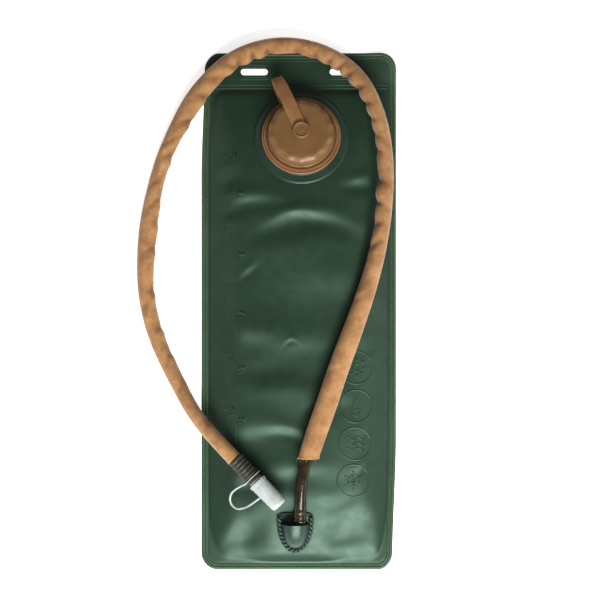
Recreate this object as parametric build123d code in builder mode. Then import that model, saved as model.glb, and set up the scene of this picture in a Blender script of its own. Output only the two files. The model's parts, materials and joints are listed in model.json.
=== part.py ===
from build123d import *

import os
from math import cos, pi, radians, sin, tan

# Hydration bladder, lying on its back. +Y runs along the bag towards the header with
# its two hanging slots, +X across it, +Z up. The origin is the middle of the bag's
# footprint on the ground. All lengths are in millimetres.

# ---- bag ----
FILM = 0.6            # film thickness
BAG_WIDTH = 162.0
BAG_LENGTH = 430.0
CORNER_R = 14.0
WATER_HALF_WIDTH = 74.5   # water space, inside the perimeter weld
WATER_BOTTOM_Y = -208.5
WATER_TOP_Y = 185.0
RIM_TOP = 2 * FILM    # two films welded together
CROWN = 20.36         # height of the filled bag
FOOT_SLOPE_Y = (-203.0, -163.0)   # where the slope with the outlet starts and ends
CROWN_Y = (-119.7, 76.9)          # the level stretch
HEAD_SLOPE_Y = (105.0, 183.0)     # where the slope with the filling port starts and ends
VAULT_HALF_WIDTH = 58.0           # the flatter middle of the cross-section
VAULT_EDGE_Z = 14.6
VAULT_CROWN_Z = 21.16
BELOW = -2.0          # cutting tools and trimmed bodies start here

# ---- header ----
SLOT_SPACING = 74.0
SLOT_LENGTH = 22.6
SLOT_WIDTH = 5.5
SLOT_Y = 199.2

# ---- filling port, on the slope under the header ----
NECK_TILT = 10.0
NECK_FOOT = (2.0, 143.7, 11.08)   # on the film's outer face
FLANGE_R = 38.0
FLANGE_THICK = 1.6
HUB_R = 33.0
HUB_TOP = 3.4
SEAT_R = 28.9         # the tether's ring turns round this
COLLAR_R = 30.6
COLLAR_BASE = 6.2
COLLAR_TOP = 7.6
NECK_R = 23.4
NECK_BORE_R = 21.0
NECK_TOP = 16.0
NECK_FOOT_BORE_R = 26.4

# ---- screw thread, two starts ----
THREAD_LEAD = 8.0
THREAD_TURNS = 0.6
THREAD_STARTS = 2
NECK_THREAD_R = 24.5
CAP_THREAD_R = 23.8
THREAD_BASE = 9.6     # lowest point of the neck's thread line

# ---- screw cap ----
CAP_BASE = 8.0
CAP_TOP = 20.0
CAP_CEILING = 17.4
CAP_BORE_R = 25.0
CAP_SKIRT_R = 27.9
CAP_TOP_R = 26.4
CAP_LOBES = 14
SCALLOP_R = 6.5
SCALLOP_DEPTH = 1.2
GASKET_THICK = 1.1

# ---- button and tether ----
STEM_R = 3.0
EYE_R = 3.3
BUTTON_R = 6.9
BUTTON_BASE = 21.95
BUTTON_TOP = 24.0
STRAP_WIDTH = 10.0
STRAP_THICK = 1.5
STRAP_AZIMUTH = 113.0
STRAP_LEVEL = CAP_TOP + 0.3 + STRAP_THICK / 2
TETHER_RING_R = 32.5
TETHER_BORE_R = 29.2
TETHER_BASE = 3.6
TETHER_TOP = 6.0

# ---- outlet port, on the slope at the bag's foot ----
PORT_TILT = 12.9
PORT_FOOT = (-2.9, -182.7, 10.95)
PLATE_THICK = 1.2
PLATE_HALF_WIDTH = 15.3
PLATE_TOP = 17.7
PLATE_CORNER_R = 6.0
PLATE_ARC_Y = -2.2    # centre of the round end
RIM_WIDTH = 3.0
RIM_HEIGHT = 2.0
RIM_OPEN_Y = 13.5     # the rim is open above this
HOOD_R = 11.6
HOOD_WALL = 1.5
HOOD_AXIS = 3.6       # height of the hood's half round
HOOD_BACK = -3.0      # centre of its ball end
HOOD_LIP = 11.7       # its upright mouth, at the top of the half round
COLLAR_OUT_R = 7.5
COLLAR_DEPTH = 5.0
STEM_BORE_R = 4.5

# ---- hose ----
TUBE_R = 4.75
TUBE_BORE_R = 3.2
SLEEVE_R = 6.75
SLEEVE_BORE_R = 5.5
ARC_SHARE = 0.45      # part of the shorter run that an arc takes
SLEEVE_START = 0.5    # share of the third run
SLEEVE_END = 0.57     # share of the last run
ROUTE = [
    (1.1, -174.4, 19.6),
    (1.1, -153.5, 24.4),
    (2.6, -134.0, 27.4),
    (10.6, -106.0, 28.8),
    (21.0, -77.5, 28.9),
    (32.0, -44.5, 28.4),
    (44.0, -13.5, 27.4),
    (55.5, 18.5, 24.8),
    (65.5, 53.0, 21.2),
    (71.0, 88.5, 18.6),
    (72.0, 125.0, 18.0),
    (66.0, 160.5, 19.6),
    (51.0, 195.0, 12.4),
    (20.0, 216.0, 9.2),
    (-16.5, 222.0, 8.8),
    (-52.5, 211.5, 9.4),
    (-79.5, 186.5, 9.2),
    (-98.5, 155.0, 7.8),
    (-113.5, 122.0, 7.4),
    (-122.5, 86.5, 7.2),
    (-127.0, 50.5, 7.2),
    (-127.0, 14.0, 7.2),
    (-118.0, -22.0, 7.4),
    (-102.0, -54.5, 8.2),
    (-85.0, -87.0, 13.4),
    (-59.5, -112.5, 25.6),
    (-46.5, -125.8, 27.3),
]

# ---- mouthpiece, measured along the hose's end from the end of the tube ----
GRIP_START = -7.7
GRIP_END = 12.2
GRIP_R = 7.0
GRIP_RIBS = 6
GRIP_GROOVE = (1.4, 1.0)    # depth across both sides of the surface, and width
DISC_START = 13.3
DISC_END = 16.0
DISC_R = 6.5
MOUTH_END = 36.0
MOUTH_COLLAR_R = 6.0
MOUTH_R = 5.2
BITE_SLIT = (5.0, 0.4)
BITE_SLIT_DEPTH = 3.0
DUST_START = 17.8
DUST_END = 45.1
DUST_RIM_R = 7.9
DUST_R = 7.4
DUST_TIP_R = 7.1
DUST_BORE_R = 6.5
DUST_RIM_LENGTH = 2.2
KNURLS = 20
KNURL_R = 0.6
LOOP_R = 0.85

# ---- planes ----
X_AXIS = Vector(1, 0, 0)
NECK = Plane(NECK_FOOT, x_dir=X_AXIS, z_dir=(0, sin(radians(NECK_TILT)), cos(radians(NECK_TILT))))
NECK_AXIS = Axis(NECK.origin, NECK.z_dir)
NECK_SECTION = Plane(NECK.origin, x_dir=X_AXIS, z_dir=X_AXIS.cross(NECK.z_dir))

PORT = Plane(PORT_FOOT, x_dir=X_AXIS, z_dir=(0, -sin(radians(PORT_TILT)), cos(radians(PORT_TILT))))

TUBE_START = Vector(*ROUTE[0])
TUBE_END = Vector(*ROUTE[-1])
SPIGOT = Plane(TUBE_START, x_dir=X_AXIS, z_dir=Vector(*ROUTE[1]) - TUBE_START)
SPIGOT_SECTION = Plane(TUBE_START, x_dir=X_AXIS, z_dir=X_AXIS.cross(SPIGOT.z_dir))
ELBOW_REACH = 12.0    # from the tube's end back to the elbow's corner
ELBOW = Plane(TUBE_START - SPIGOT.z_dir * ELBOW_REACH, x_dir=X_AXIS, z_dir=PORT.z_dir)
ELBOW_SECTION = Plane(ELBOW.origin, x_dir=X_AXIS, z_dir=X_AXIS.cross(ELBOW.z_dir))
ELBOW_IN_PORT = PORT.to_local_coords(ELBOW.origin)

VALVE_DIR = (TUBE_END - Vector(*ROUTE[-2])).normalized()
VALVE_SIDE = VALVE_DIR.cross(Vector(0, 0, 1)).normalized()
VALVE = Plane(TUBE_END, x_dir=VALVE_SIDE, z_dir=VALVE_DIR)
VALVE_AXIS = Axis(TUBE_END, VALVE_DIR)
VALVE_SECTION = Plane(TUBE_END, x_dir=VALVE_SIDE, z_dir=VALVE_SIDE.cross(VALVE_DIR))


# ---- bag: two films welded round the border ----
def water_body(inset):
    """The filled bag's outside, with every face moved in by inset."""
    with BuildPart() as body:
        with BuildSketch(Plane.YZ):
            with BuildLine():
                port_slope = tan(radians(PORT_TILT))
                neck_slope = tan(radians(NECK_TILT))
                foot = [(y, PORT_FOOT[2] + port_slope * (y - PORT_FOOT[1])) for y in FOOT_SLOPE_Y]
                head = [(y, NECK_FOOT[2] - neck_slope * (y - NECK_FOOT[1])) for y in HEAD_SLOPE_Y]
                rise = Line(*foot)
                shoulder = TangentArc(rise @ 1, (CROWN_Y[0], CROWN), tangent=rise % 1)
                top = Line(shoulder @ 1, (CROWN_Y[1], CROWN))
                fall = TangentArc(top @ 1, head[0], tangent=(1, 0))
                Line(fall @ 1, head[1])
                Polyline(
                    head[1],
                    (WATER_TOP_Y, RIM_TOP),
                    (WATER_TOP_Y, BELOW),
                    (WATER_BOTTOM_Y, BELOW),
                    (WATER_BOTTOM_Y, RIM_TOP),
                    foot[0],
                )
            make_face()
            if inset:
                offset(amount=-inset, kind=Kind.INTERSECTION)
        extrude(amount=BAG_WIDTH / 2, both=True)
        with BuildSketch(Plane.XZ):
            with BuildLine():
                edge = WATER_HALF_WIDTH
                left_edge, right_edge = ((side * VAULT_HALF_WIDTH, VAULT_EDGE_Z) for side in (-1, 1))
                vault = ThreePointArc(left_edge, (0, VAULT_CROWN_Z), right_edge)
                TangentArc(vault @ 1, (edge, RIM_TOP), tangent=vault % 1)
                TangentArc(vault @ 0, (-edge, RIM_TOP), tangent=-(vault % 0))
                Polyline((-edge, RIM_TOP), (-edge, BELOW), (edge, BELOW), (edge, RIM_TOP))
            make_face()
            if inset:
                offset(amount=-inset, kind=Kind.INTERSECTION)
        extrude(amount=BAG_LENGTH / 2, both=True, mode=Mode.INTERSECT)
    return body.part


def hanging_slots(height):
    """Both header slots, cut down through the films from a height."""
    with BuildSketch(Plane.XY.offset(height)) as slots:
        with Locations((0, SLOT_Y)):
            with GridLocations(SLOT_SPACING, 0, 2, 1):
                SlotOverall(SLOT_LENGTH, SLOT_WIDTH)
    return slots.sketch


outer_skin = water_body(0.0)
water_space = water_body(FILM)

with BuildPart() as front_film:
    with BuildSketch(Plane.XY.offset(BELOW)):
        RectangleRounded(BAG_WIDTH, BAG_LENGTH, CORNER_R)
    extrude(amount=RIM_TOP - BELOW)
    add(outer_skin)
    add(water_space, mode=Mode.SUBTRACT)
    add(hanging_slots(RIM_TOP))
    extrude(amount=BELOW - RIM_TOP, mode=Mode.SUBTRACT)
    with BuildSketch(NECK):
        Circle(SEAT_R)
    extrude(amount=COLLAR_DEPTH, both=True, mode=Mode.SUBTRACT)
    with BuildSketch(ELBOW):
        Circle(COLLAR_OUT_R)
    extrude(amount=2 * ELBOW_REACH, both=True, mode=Mode.SUBTRACT)
    split(bisect_by=Plane.XY.offset(FILM), keep=Keep.TOP)
front_film.part.label = "front_film"
export_step(front_film.part, "parts/front_film.step")

with BuildPart() as back_film:
    with BuildSketch():
        RectangleRounded(BAG_WIDTH, BAG_LENGTH, CORNER_R)
    extrude(amount=FILM)
    add(hanging_slots(RIM_TOP))
    extrude(amount=BELOW - RIM_TOP, mode=Mode.SUBTRACT)
back_film.part.label = "back_film"
export_step(back_film.part, "parts/back_film.step")


# ---- filling port ----
with BuildPart() as fill_flange:
    with BuildSketch(NECK):
        Circle(FLANGE_R)
    extrude(amount=FLANGE_THICK)
    with BuildSketch(NECK):
        Circle(HUB_R)
    extrude(amount=HUB_TOP)
    rims = fill_flange.edges().filter_by(GeomType.CIRCLE).filter_by(lambda e: e.radius > SEAT_R)
    chamfer(rims.sort_by(NECK_AXIS)[-1], 0.6)
    with BuildSketch(NECK):
        Circle(SEAT_R)
    extrude(amount=HUB_TOP, mode=Mode.SUBTRACT)
fill_flange.part.label = "fill_flange"
export_step(fill_flange.part, "parts/fill_flange.step")


def thread_ridge(inner_r, outer_r, inner_width, outer_width, base):
    """One start of a thread in the neck's frame: a trapezoid carried up a helix."""
    with BuildPart() as ridge:
        with BuildLine():
            Helix(THREAD_LEAD, THREAD_LEAD * THREAD_TURNS, inner_r, center=(0, 0, base))
        with BuildSketch(Plane((inner_r, 0, base), x_dir=(1, 0, 0), z_dir=(0, -1, 0))):
            with BuildLine():
                depth = outer_r - inner_r
                Polyline(
                    (0, -inner_width / 2),
                    (depth, -outer_width / 2),
                    (depth, outer_width / 2),
                    (0, inner_width / 2),
                    close=True,
                )
            make_face()
        sweep(is_frenet=True)
    return ridge.part


THREAD_ROOT = 0.2     # how far a ridge sinks in the wall that it grows from
neck_thread = thread_ridge(NECK_R - THREAD_ROOT, NECK_THREAD_R, 2.4, 1.2, THREAD_BASE)
cap_thread = thread_ridge(
    CAP_THREAD_R, CAP_BORE_R + THREAD_ROOT, 0.8, 1.6, THREAD_BASE + THREAD_LEAD / 4
)

with BuildPart() as fill_neck:
    with BuildSketch(NECK_SECTION):
        with BuildLine():
            Polyline(
                (NECK_FOOT_BORE_R, -1.0),
                (SEAT_R, -1.0),
                (SEAT_R, COLLAR_BASE),
                (COLLAR_R, COLLAR_BASE),
                (COLLAR_R, COLLAR_TOP),
                (NECK_R, COLLAR_TOP),
                (NECK_R, NECK_TOP - 0.5),
                (NECK_R - 0.5, NECK_TOP),
                (NECK_BORE_R, NECK_TOP),
                (NECK_BORE_R, COLLAR_TOP),
                (NECK_FOOT_BORE_R, 3.0),
                close=True,
            )
        make_face()
    revolve(axis=NECK_AXIS)
    with Locations(NECK.location):
        with PolarLocations(0, THREAD_STARTS):
            add(neck_thread)
fill_neck.part.label = "fill_neck"
export_step(fill_neck.part, "parts/fill_neck.step")


# ---- cap ----
def scalloped(height, radius):
    """The cap's outline at a height over the film: a round with shallow scallops."""
    with BuildSketch(NECK.offset(height)) as outline:
        Circle(radius)
        with PolarLocations(radius - SCALLOP_DEPTH + SCALLOP_R, CAP_LOBES):
            Circle(SCALLOP_R, mode=Mode.SUBTRACT)
    return outline.sketch


with BuildPart() as screw_cap:
    add(scalloped(CAP_BASE + 1.5, CAP_SKIRT_R - 0.3))
    add(scalloped(CAP_TOP - 0.8, CAP_TOP_R))
    loft(ruled=True)
    add(scalloped(CAP_TOP - 0.8, CAP_TOP_R))
    add(scalloped(CAP_TOP, CAP_TOP_R - 0.8))
    loft(ruled=True)
    with BuildSketch(NECK.offset(CAP_BASE)):
        Circle(CAP_SKIRT_R)
    extrude(amount=1.5)
    with BuildSketch(NECK_SECTION):
        with BuildLine():
            Polyline(
                (0, CAP_BASE),
                (CAP_BORE_R, CAP_BASE),
                (CAP_BORE_R, CAP_CEILING - 1.9),
                (CAP_BORE_R - 1.4, CAP_CEILING),
                (0, CAP_CEILING),
                close=True,
            )
        make_face()
    revolve(axis=NECK_AXIS, mode=Mode.SUBTRACT)
    with BuildSketch(NECK.offset(CAP_TOP)):
        Circle(STEM_R)
    extrude(amount=CAP_CEILING - CAP_TOP, mode=Mode.SUBTRACT)
    with Locations(NECK.location):
        with PolarLocations(0, THREAD_STARTS):
            add(cap_thread)
screw_cap.part.label = "screw_cap"
export_step(screw_cap.part, "parts/screw_cap.step")

with BuildPart() as cap_gasket:
    with BuildSketch(NECK.offset(CAP_CEILING - GASKET_THICK)):
        Circle(NECK_R - 0.2)
        Circle(NECK_BORE_R - 1.5, mode=Mode.SUBTRACT)
    extrude(amount=GASKET_THICK)
cap_gasket.part.label = "cap_gasket"
export_step(cap_gasket.part, "parts/cap_gasket.step")

with BuildPart() as cap_button:
    with BuildSketch(NECK_SECTION):
        with BuildLine():
            Polyline(
                (0, CAP_CEILING - 1.6),
                (STEM_R - 0.4, CAP_CEILING - 1.6),
                (STEM_R + 0.9, CAP_CEILING - 0.5),
                (STEM_R + 0.9, CAP_CEILING),
                (STEM_R, CAP_CEILING),
                (STEM_R, BUTTON_BASE),
                (BUTTON_R, BUTTON_BASE),
                (BUTTON_R, BUTTON_TOP - 0.9),
                (BUTTON_R - 0.9, BUTTON_TOP),
                (BUTTON_R - 2.0, BUTTON_TOP),
                (BUTTON_R - 2.4, BUTTON_TOP - 0.6),
                (0, BUTTON_TOP - 0.6),
                close=True,
            )
        make_face()
    revolve(axis=NECK_AXIS)
cap_button.part.label = "cap_button"
export_step(cap_button.part, "parts/cap_button.step")

with BuildPart() as cap_tether:
    with BuildSketch(NECK.offset(TETHER_BASE)):
        Circle(TETHER_RING_R)
        Circle(TETHER_BORE_R, mode=Mode.SUBTRACT)
    extrude(amount=TETHER_TOP - TETHER_BASE)
    strap_out = NECK.x_dir.rotate(NECK_AXIS, STRAP_AZIMUTH)
    strap_plane = Plane(NECK.origin, x_dir=strap_out, z_dir=strap_out.cross(NECK.z_dir))
    with BuildLine(strap_plane):
        strap_line = FilletPolyline(
            (TETHER_BORE_R + 1.0, 4.8),
            (46.5, 5.2),
            (51.5, 9.0),
            (46.5, 14.0),
            (CAP_TOP_R + 0.5, STRAP_LEVEL),
            (EYE_R + 2.5, STRAP_LEVEL),
            radius=[4.0, 3.5, 7.0, 25.0],
        )
    with BuildSketch(Plane(strap_line @ 0, x_dir=strap_plane.z_dir, z_dir=strap_line % 0)):
        Rectangle(STRAP_WIDTH, STRAP_THICK)
    sweep()
    with BuildSketch(NECK.offset(STRAP_LEVEL - STRAP_THICK / 2)):
        Circle(BUTTON_R - 0.2)
    extrude(amount=STRAP_THICK)
    with BuildSketch(NECK.offset(STRAP_LEVEL - STRAP_THICK)):
        Circle(EYE_R)
    extrude(amount=2 * STRAP_THICK, mode=Mode.SUBTRACT)
cap_tether.part.label = "cap_tether"
export_step(cap_tether.part, "parts/cap_tether.step")


# ---- outlet port ----
def shield(inset):
    """The port plate's outline: straight sides, a round end and two soft corners."""
    half = PLATE_HALF_WIDTH - inset
    top = PLATE_TOP - inset
    corner = PLATE_CORNER_R - inset
    with BuildSketch(PORT) as outline:
        with BuildLine():
            right = Line((half, PLATE_ARC_Y), (half, top - corner))
            ceiling = Line((half - corner, top), (corner - half, top))
            left = Line((-half, top - corner), (-half, PLATE_ARC_Y))
            RadiusArc(right @ 1, ceiling @ 0, -corner)
            RadiusArc(ceiling @ 1, left @ 0, -corner)
            ThreePointArc(left @ 1, (0, PLATE_ARC_Y - half), right @ 0)
        make_face()
    return outline.sketch


def hood_body(radius, foot):
    """A half-round hood with a ball end and upright walls down to its foot."""
    with BuildPart() as hood:
        with BuildSketch(PORT.offset(foot)):
            with Locations((0, HOOD_BACK)):
                Circle(radius)
            with Locations((0, HOOD_BACK + PLATE_TOP / 2)):
                Rectangle(2 * radius, PLATE_TOP)
        extrude(amount=HOOD_AXIS - foot)
        back = PORT.from_local_coords((0, HOOD_BACK, HOOD_AXIS))
        with BuildSketch(Plane(back, x_dir=X_AXIS, z_dir=PORT.y_dir)):
            Circle(radius)
        extrude(amount=PLATE_TOP)
        with Locations(back):
            Sphere(radius)
        split(bisect_by=PORT.offset(foot), keep=Keep.TOP)
        lip = PORT.from_local_coords((0, HOOD_LIP, HOOD_AXIS + HOOD_R))
        split(bisect_by=Plane(lip, z_dir=(0, 1, 0)), keep=Keep.BOTTOM)
    return hood.part


hood_outside = hood_body(HOOD_R, 0.0)
hood_inside = hood_body(HOOD_R - HOOD_WALL, PLATE_THICK)

with BuildPart() as outlet_port:
    add(shield(0.0))
    extrude(amount=RIM_HEIGHT)
    add(shield(RIM_WIDTH))
    extrude(amount=RIM_HEIGHT, mode=Mode.SUBTRACT)
    with BuildSketch(PORT):
        with Locations((0, RIM_OPEN_Y + PLATE_TOP / 2)):
            Rectangle(2 * BAG_WIDTH, PLATE_TOP)
    extrude(amount=RIM_HEIGHT, mode=Mode.SUBTRACT)
    add(shield(0.0))
    extrude(amount=PLATE_THICK)
    add(hood_outside)
    add(hood_inside, mode=Mode.SUBTRACT)
    with BuildSketch(PORT):
        with Locations((ELBOW_IN_PORT.X, ELBOW_IN_PORT.Y)):
            Circle(COLLAR_OUT_R)
    extrude(amount=-COLLAR_DEPTH)
    with BuildSketch(PORT.offset(PLATE_THICK)):
        with Locations((ELBOW_IN_PORT.X, ELBOW_IN_PORT.Y)):
            Circle(STEM_BORE_R)
    extrude(amount=-COLLAR_DEPTH - PLATE_THICK, mode=Mode.SUBTRACT)
outlet_port.part.label = "outlet_port"
export_step(outlet_port.part, "parts/outlet_port.step")

STEM_FOOT = -ELBOW_IN_PORT.Z - COLLAR_DEPTH      # collar's lower face, from the elbow
O_RING_LEVEL = STEM_FOOT + 2.4
O_RING_R = 0.5
ELBOW_STEM_R = 4.4
ELBOW_BORE_R = 1.9
SPIGOT_R = 3.6
SPIGOT_STOP_R = 4.5
SPIGOT_BARBS = (3.5, 7.5, 11.5)   # each barb's sharp edge, from the tube's end
SPIGOT_END = 14.5
BARB_ROOT_R = 2.8


def barbs(edges, first_r, second_r):
    """A barbed spigot's saw teeth: each edge has a step from one radius to another."""
    teeth = []
    for edge in edges:
        teeth += [(first_r, edge), (second_r, edge)]
    return teeth


with BuildPart() as outlet_elbow:
    with BuildSketch(ELBOW_SECTION):
        with BuildLine():
            Polyline(
                (0, 0),
                (ELBOW_STEM_R, 0),
                (ELBOW_STEM_R, O_RING_LEVEL + O_RING_R),
                (ELBOW_STEM_R - 0.9, O_RING_LEVEL + O_RING_R),
                (ELBOW_STEM_R - 0.9, O_RING_LEVEL - O_RING_R),
                (ELBOW_STEM_R, O_RING_LEVEL - O_RING_R),
                (ELBOW_STEM_R, STEM_FOOT - 0.1),
                (ELBOW_STEM_R + 0.6, STEM_FOOT - 0.1),
                (ELBOW_STEM_R - 0.3, STEM_FOOT - 1.4),
                (0, STEM_FOOT - 1.4),
                close=True,
            )
        make_face()
    revolve(axis=Axis(ELBOW.origin, ELBOW.z_dir))
    with Locations(ELBOW.origin):
        Sphere(ELBOW_STEM_R + 0.4)
    with BuildSketch(SPIGOT_SECTION):
        with BuildLine():
            Polyline(
                (0, -ELBOW_REACH),
                (SPIGOT_R, -ELBOW_REACH),
                (SPIGOT_R, -1.6),
                (SPIGOT_STOP_R, -1.6),
                (SPIGOT_STOP_R, 0),
                (BARB_ROOT_R, 0),
                *barbs(SPIGOT_BARBS, BARB_ROOT_R, TUBE_BORE_R),
                (BARB_ROOT_R - 0.3, SPIGOT_END),
                (0, SPIGOT_END),
                close=True,
            )
        make_face()
    revolve(axis=Axis(SPIGOT.origin, SPIGOT.z_dir))
    with BuildSketch(ELBOW):
        Circle(ELBOW_BORE_R)
    extrude(amount=STEM_FOOT - 2.0, mode=Mode.SUBTRACT)
    with BuildSketch(SPIGOT.offset(-ELBOW_REACH)):
        Circle(ELBOW_BORE_R)
    extrude(amount=ELBOW_REACH + SPIGOT_END + 0.5, mode=Mode.SUBTRACT)
outlet_elbow.part.label = "outlet_elbow"
export_step(outlet_elbow.part, "parts/outlet_elbow.step")

with BuildPart() as elbow_o_ring:
    with Locations(ELBOW.offset(O_RING_LEVEL).location):
        Torus(ELBOW_STEM_R - 0.9 + O_RING_R, O_RING_R)
elbow_o_ring.part.label = "elbow_o_ring"
export_step(elbow_o_ring.part, "parts/elbow_o_ring.step")


# ---- hose and its fabric sleeve, on one route ----
def corner_radii(points):
    """The largest arc at each corner that the two runs beside it allow."""
    radii = []
    for before, corner, after in zip(points, points[1:], points[2:]):
        run_in = Vector(*corner) - Vector(*before)
        run_out = Vector(*after) - Vector(*corner)
        half_turn = radians(run_in.get_angle(run_out)) / 2
        radii.append(ARC_SHARE * min(run_in.length, run_out.length) / tan(half_turn))
    return radii


def along(start, end, share):
    return Vector(*start) + (Vector(*end) - Vector(*start)) * share


radii = corner_radii(ROUTE)
print("hose corner radii, mm:", [round(r) for r in radii])

with BuildPart() as drinking_tube:
    with BuildLine():
        tube_line = FilletPolyline(*ROUTE, radius=radii)
    with BuildSketch(SPIGOT):
        Circle(TUBE_R)
        Circle(TUBE_BORE_R, mode=Mode.SUBTRACT)
    sweep()
tube_length = tube_line.length
ring_area = pi * (TUBE_R**2 - TUBE_BORE_R**2)
print("hose length, mm:", round(tube_length, 1))
print("hose volume / (section x length):", round(drinking_tube.part.volume / (ring_area * tube_length), 5))
drinking_tube.part.label = "drinking_tube"
export_step(drinking_tube.part, "parts/drinking_tube.step")

sleeve_points = [along(ROUTE[2], ROUTE[3], SLEEVE_START), *ROUTE[3:-1]]
sleeve_points.append(along(ROUTE[-2], ROUTE[-1], SLEEVE_END))
with BuildPart() as tube_sleeve:
    with BuildLine():
        sleeve_line = FilletPolyline(*sleeve_points, radius=radii[2:])
    with BuildSketch(Plane(sleeve_line @ 0, z_dir=sleeve_line % 0)):
        Circle(SLEEVE_R)
        Circle(SLEEVE_BORE_R, mode=Mode.SUBTRACT)
    sweep()
print("sleeve length, mm:", round(sleeve_line.length, 1))
tube_sleeve.part.label = "tube_sleeve"
export_step(tube_sleeve.part, "parts/tube_sleeve.step")


# ---- mouthpiece ----
BARB_R = 3.4          # the stem that the grip and the mouthpiece are pushed on
BARB_BORE_R = 2.0
BARB_START = -13.0
BARB_END = DISC_END + 4.5
VALVE_BARBS = (-10.5, -6.5, -2.5)
STOP_R = 4.6          # the stop that the tube's end meets
STOP_THICK = 2.0

with BuildPart() as valve_barb:
    with BuildSketch(VALVE_SECTION):
        with BuildLine():
            Polyline(
                (BARB_BORE_R, BARB_START),
                (BARB_ROOT_R - 0.3, BARB_START),
                *barbs(VALVE_BARBS, TUBE_BORE_R, BARB_ROOT_R),
                (BARB_ROOT_R, 0),
                (STOP_R, 0),
                (STOP_R, STOP_THICK),
                (BARB_R, STOP_THICK),
                (BARB_R, DISC_START),
                (DISC_R, DISC_START),
                (DISC_R, DISC_END),
                (BARB_R, DISC_END),
                (BARB_R, BARB_END),
                (BARB_BORE_R, BARB_END),
                close=True,
            )
        make_face()
    revolve(axis=VALVE_AXIS)
valve_barb.part.label = "valve_barb"
export_step(valve_barb.part, "parts/valve_barb.step")

rib_pitch = (GRIP_END - GRIP_START) / GRIP_RIBS
with BuildPart() as valve_grip:
    with BuildSketch(VALVE_SECTION):
        with BuildLine():
            Polyline(
                (TUBE_R, GRIP_START),
                (GRIP_R, GRIP_START),
                (GRIP_R, GRIP_END),
                (BARB_R, GRIP_END),
                (BARB_R, STOP_THICK),
                (STOP_R, STOP_THICK),
                (STOP_R, 0),
                (TUBE_R, 0),
                close=True,
            )
        make_face()
        for rib in range(1, GRIP_RIBS):
            with Locations((GRIP_R, GRIP_START + rib * rib_pitch)):
                Rectangle(*GRIP_GROOVE, mode=Mode.SUBTRACT)
    revolve(axis=VALVE_AXIS)
valve_grip.part.label = "valve_grip"
export_step(valve_grip.part, "parts/valve_grip.step")

with BuildPart() as bite_valve:
    with BuildSketch(VALVE_SECTION):
        with BuildLine():
            wall = Polyline(
                (0, MOUTH_END - 1.8),
                (2.9, MOUTH_END - 1.8),
                (3.6, MOUTH_END - 5.0),
                (BARB_R, DISC_END),
                (MOUTH_COLLAR_R, DISC_END),
                (MOUTH_COLLAR_R, DISC_END + 3.0),
                (MOUTH_R, DISC_END + 6.0),
                (MOUTH_R, MOUTH_END - 4.0),
            )
            nose = ThreePointArc(wall @ 1, (4.3, MOUTH_END - 1.3), (2.0, MOUTH_END))
            Polyline(nose @ 1, (0, MOUTH_END), wall @ 0)
        make_face()
    revolve(axis=VALVE_AXIS)
    with BuildSketch(VALVE.offset(MOUTH_END)):
        Rectangle(*BITE_SLIT)
    extrude(amount=-BITE_SLIT_DEPTH, mode=Mode.SUBTRACT)
bite_valve.part.label = "bite_valve"
export_step(bite_valve.part, "parts/bite_valve.step")

with BuildPart() as dust_cap:
    with BuildSketch(VALVE_SECTION):
        with BuildLine():
            shell = Polyline(
                (0, DUST_END - 1.6),
                (DUST_BORE_R - 0.6, DUST_END - 1.6),
                (DUST_BORE_R, DUST_START),
                (DUST_RIM_R, DUST_START),
                (DUST_RIM_R, DUST_START + DUST_RIM_LENGTH),
                (DUST_R, DUST_START + DUST_RIM_LENGTH + 0.6),
                (DUST_TIP_R, DUST_END - 2.5),
            )
            tip = ThreePointArc(shell @ 1, (DUST_TIP_R - 0.75, DUST_END - 0.75), (DUST_TIP_R - 2.5, DUST_END))
            Polyline(tip @ 1, (0, DUST_END), shell @ 0)
        make_face()
    revolve(axis=VALVE_AXIS)
    with BuildSketch(VALVE.offset(DUST_START)):
        with PolarLocations(DUST_RIM_R + 0.25, KNURLS):
            Circle(KNURL_R)
    extrude(amount=DUST_RIM_LENGTH, mode=Mode.SUBTRACT)
dust_cap.part.label = "dust_cap"
export_step(dust_cap.part, "parts/dust_cap.step")

with BuildPart() as dust_cap_tether:
    with BuildSketch(VALVE.offset(GRIP_END + 0.2)):
        Circle(DUST_RIM_R + 0.1)
        Circle(BARB_R + 0.2, mode=Mode.SUBTRACT)
    extrude(amount=0.8)
    loop = [
        (7.5, 0, 12.8),
        (16.5, -1.0, 9.4),
        (24.5, -3.5, 10.4),
        (28.8, -5.5, 16.0),
        (28.0, -5.5, 22.5),
        (21.0, -3.0, 26.8),
        (12.5, -1.0, 28.2),
        (7.1, 0, 29.0),
    ]
    with BuildLine(VALVE):
        loop_line = FilletPolyline(*loop, radius=[9, 7, 5, 5, 7, 16])
    with BuildSketch(Plane(loop_line @ 0, z_dir=loop_line % 0)):
        Circle(LOOP_R)
    sweep()
dust_cap_tether.part.label = "dust_cap_tether"
export_step(dust_cap_tether.part, "parts/dust_cap_tether.step")
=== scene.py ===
import json
import math

import bmesh
import bpy
import numpy as np
from mathutils import Matrix, Vector


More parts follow.
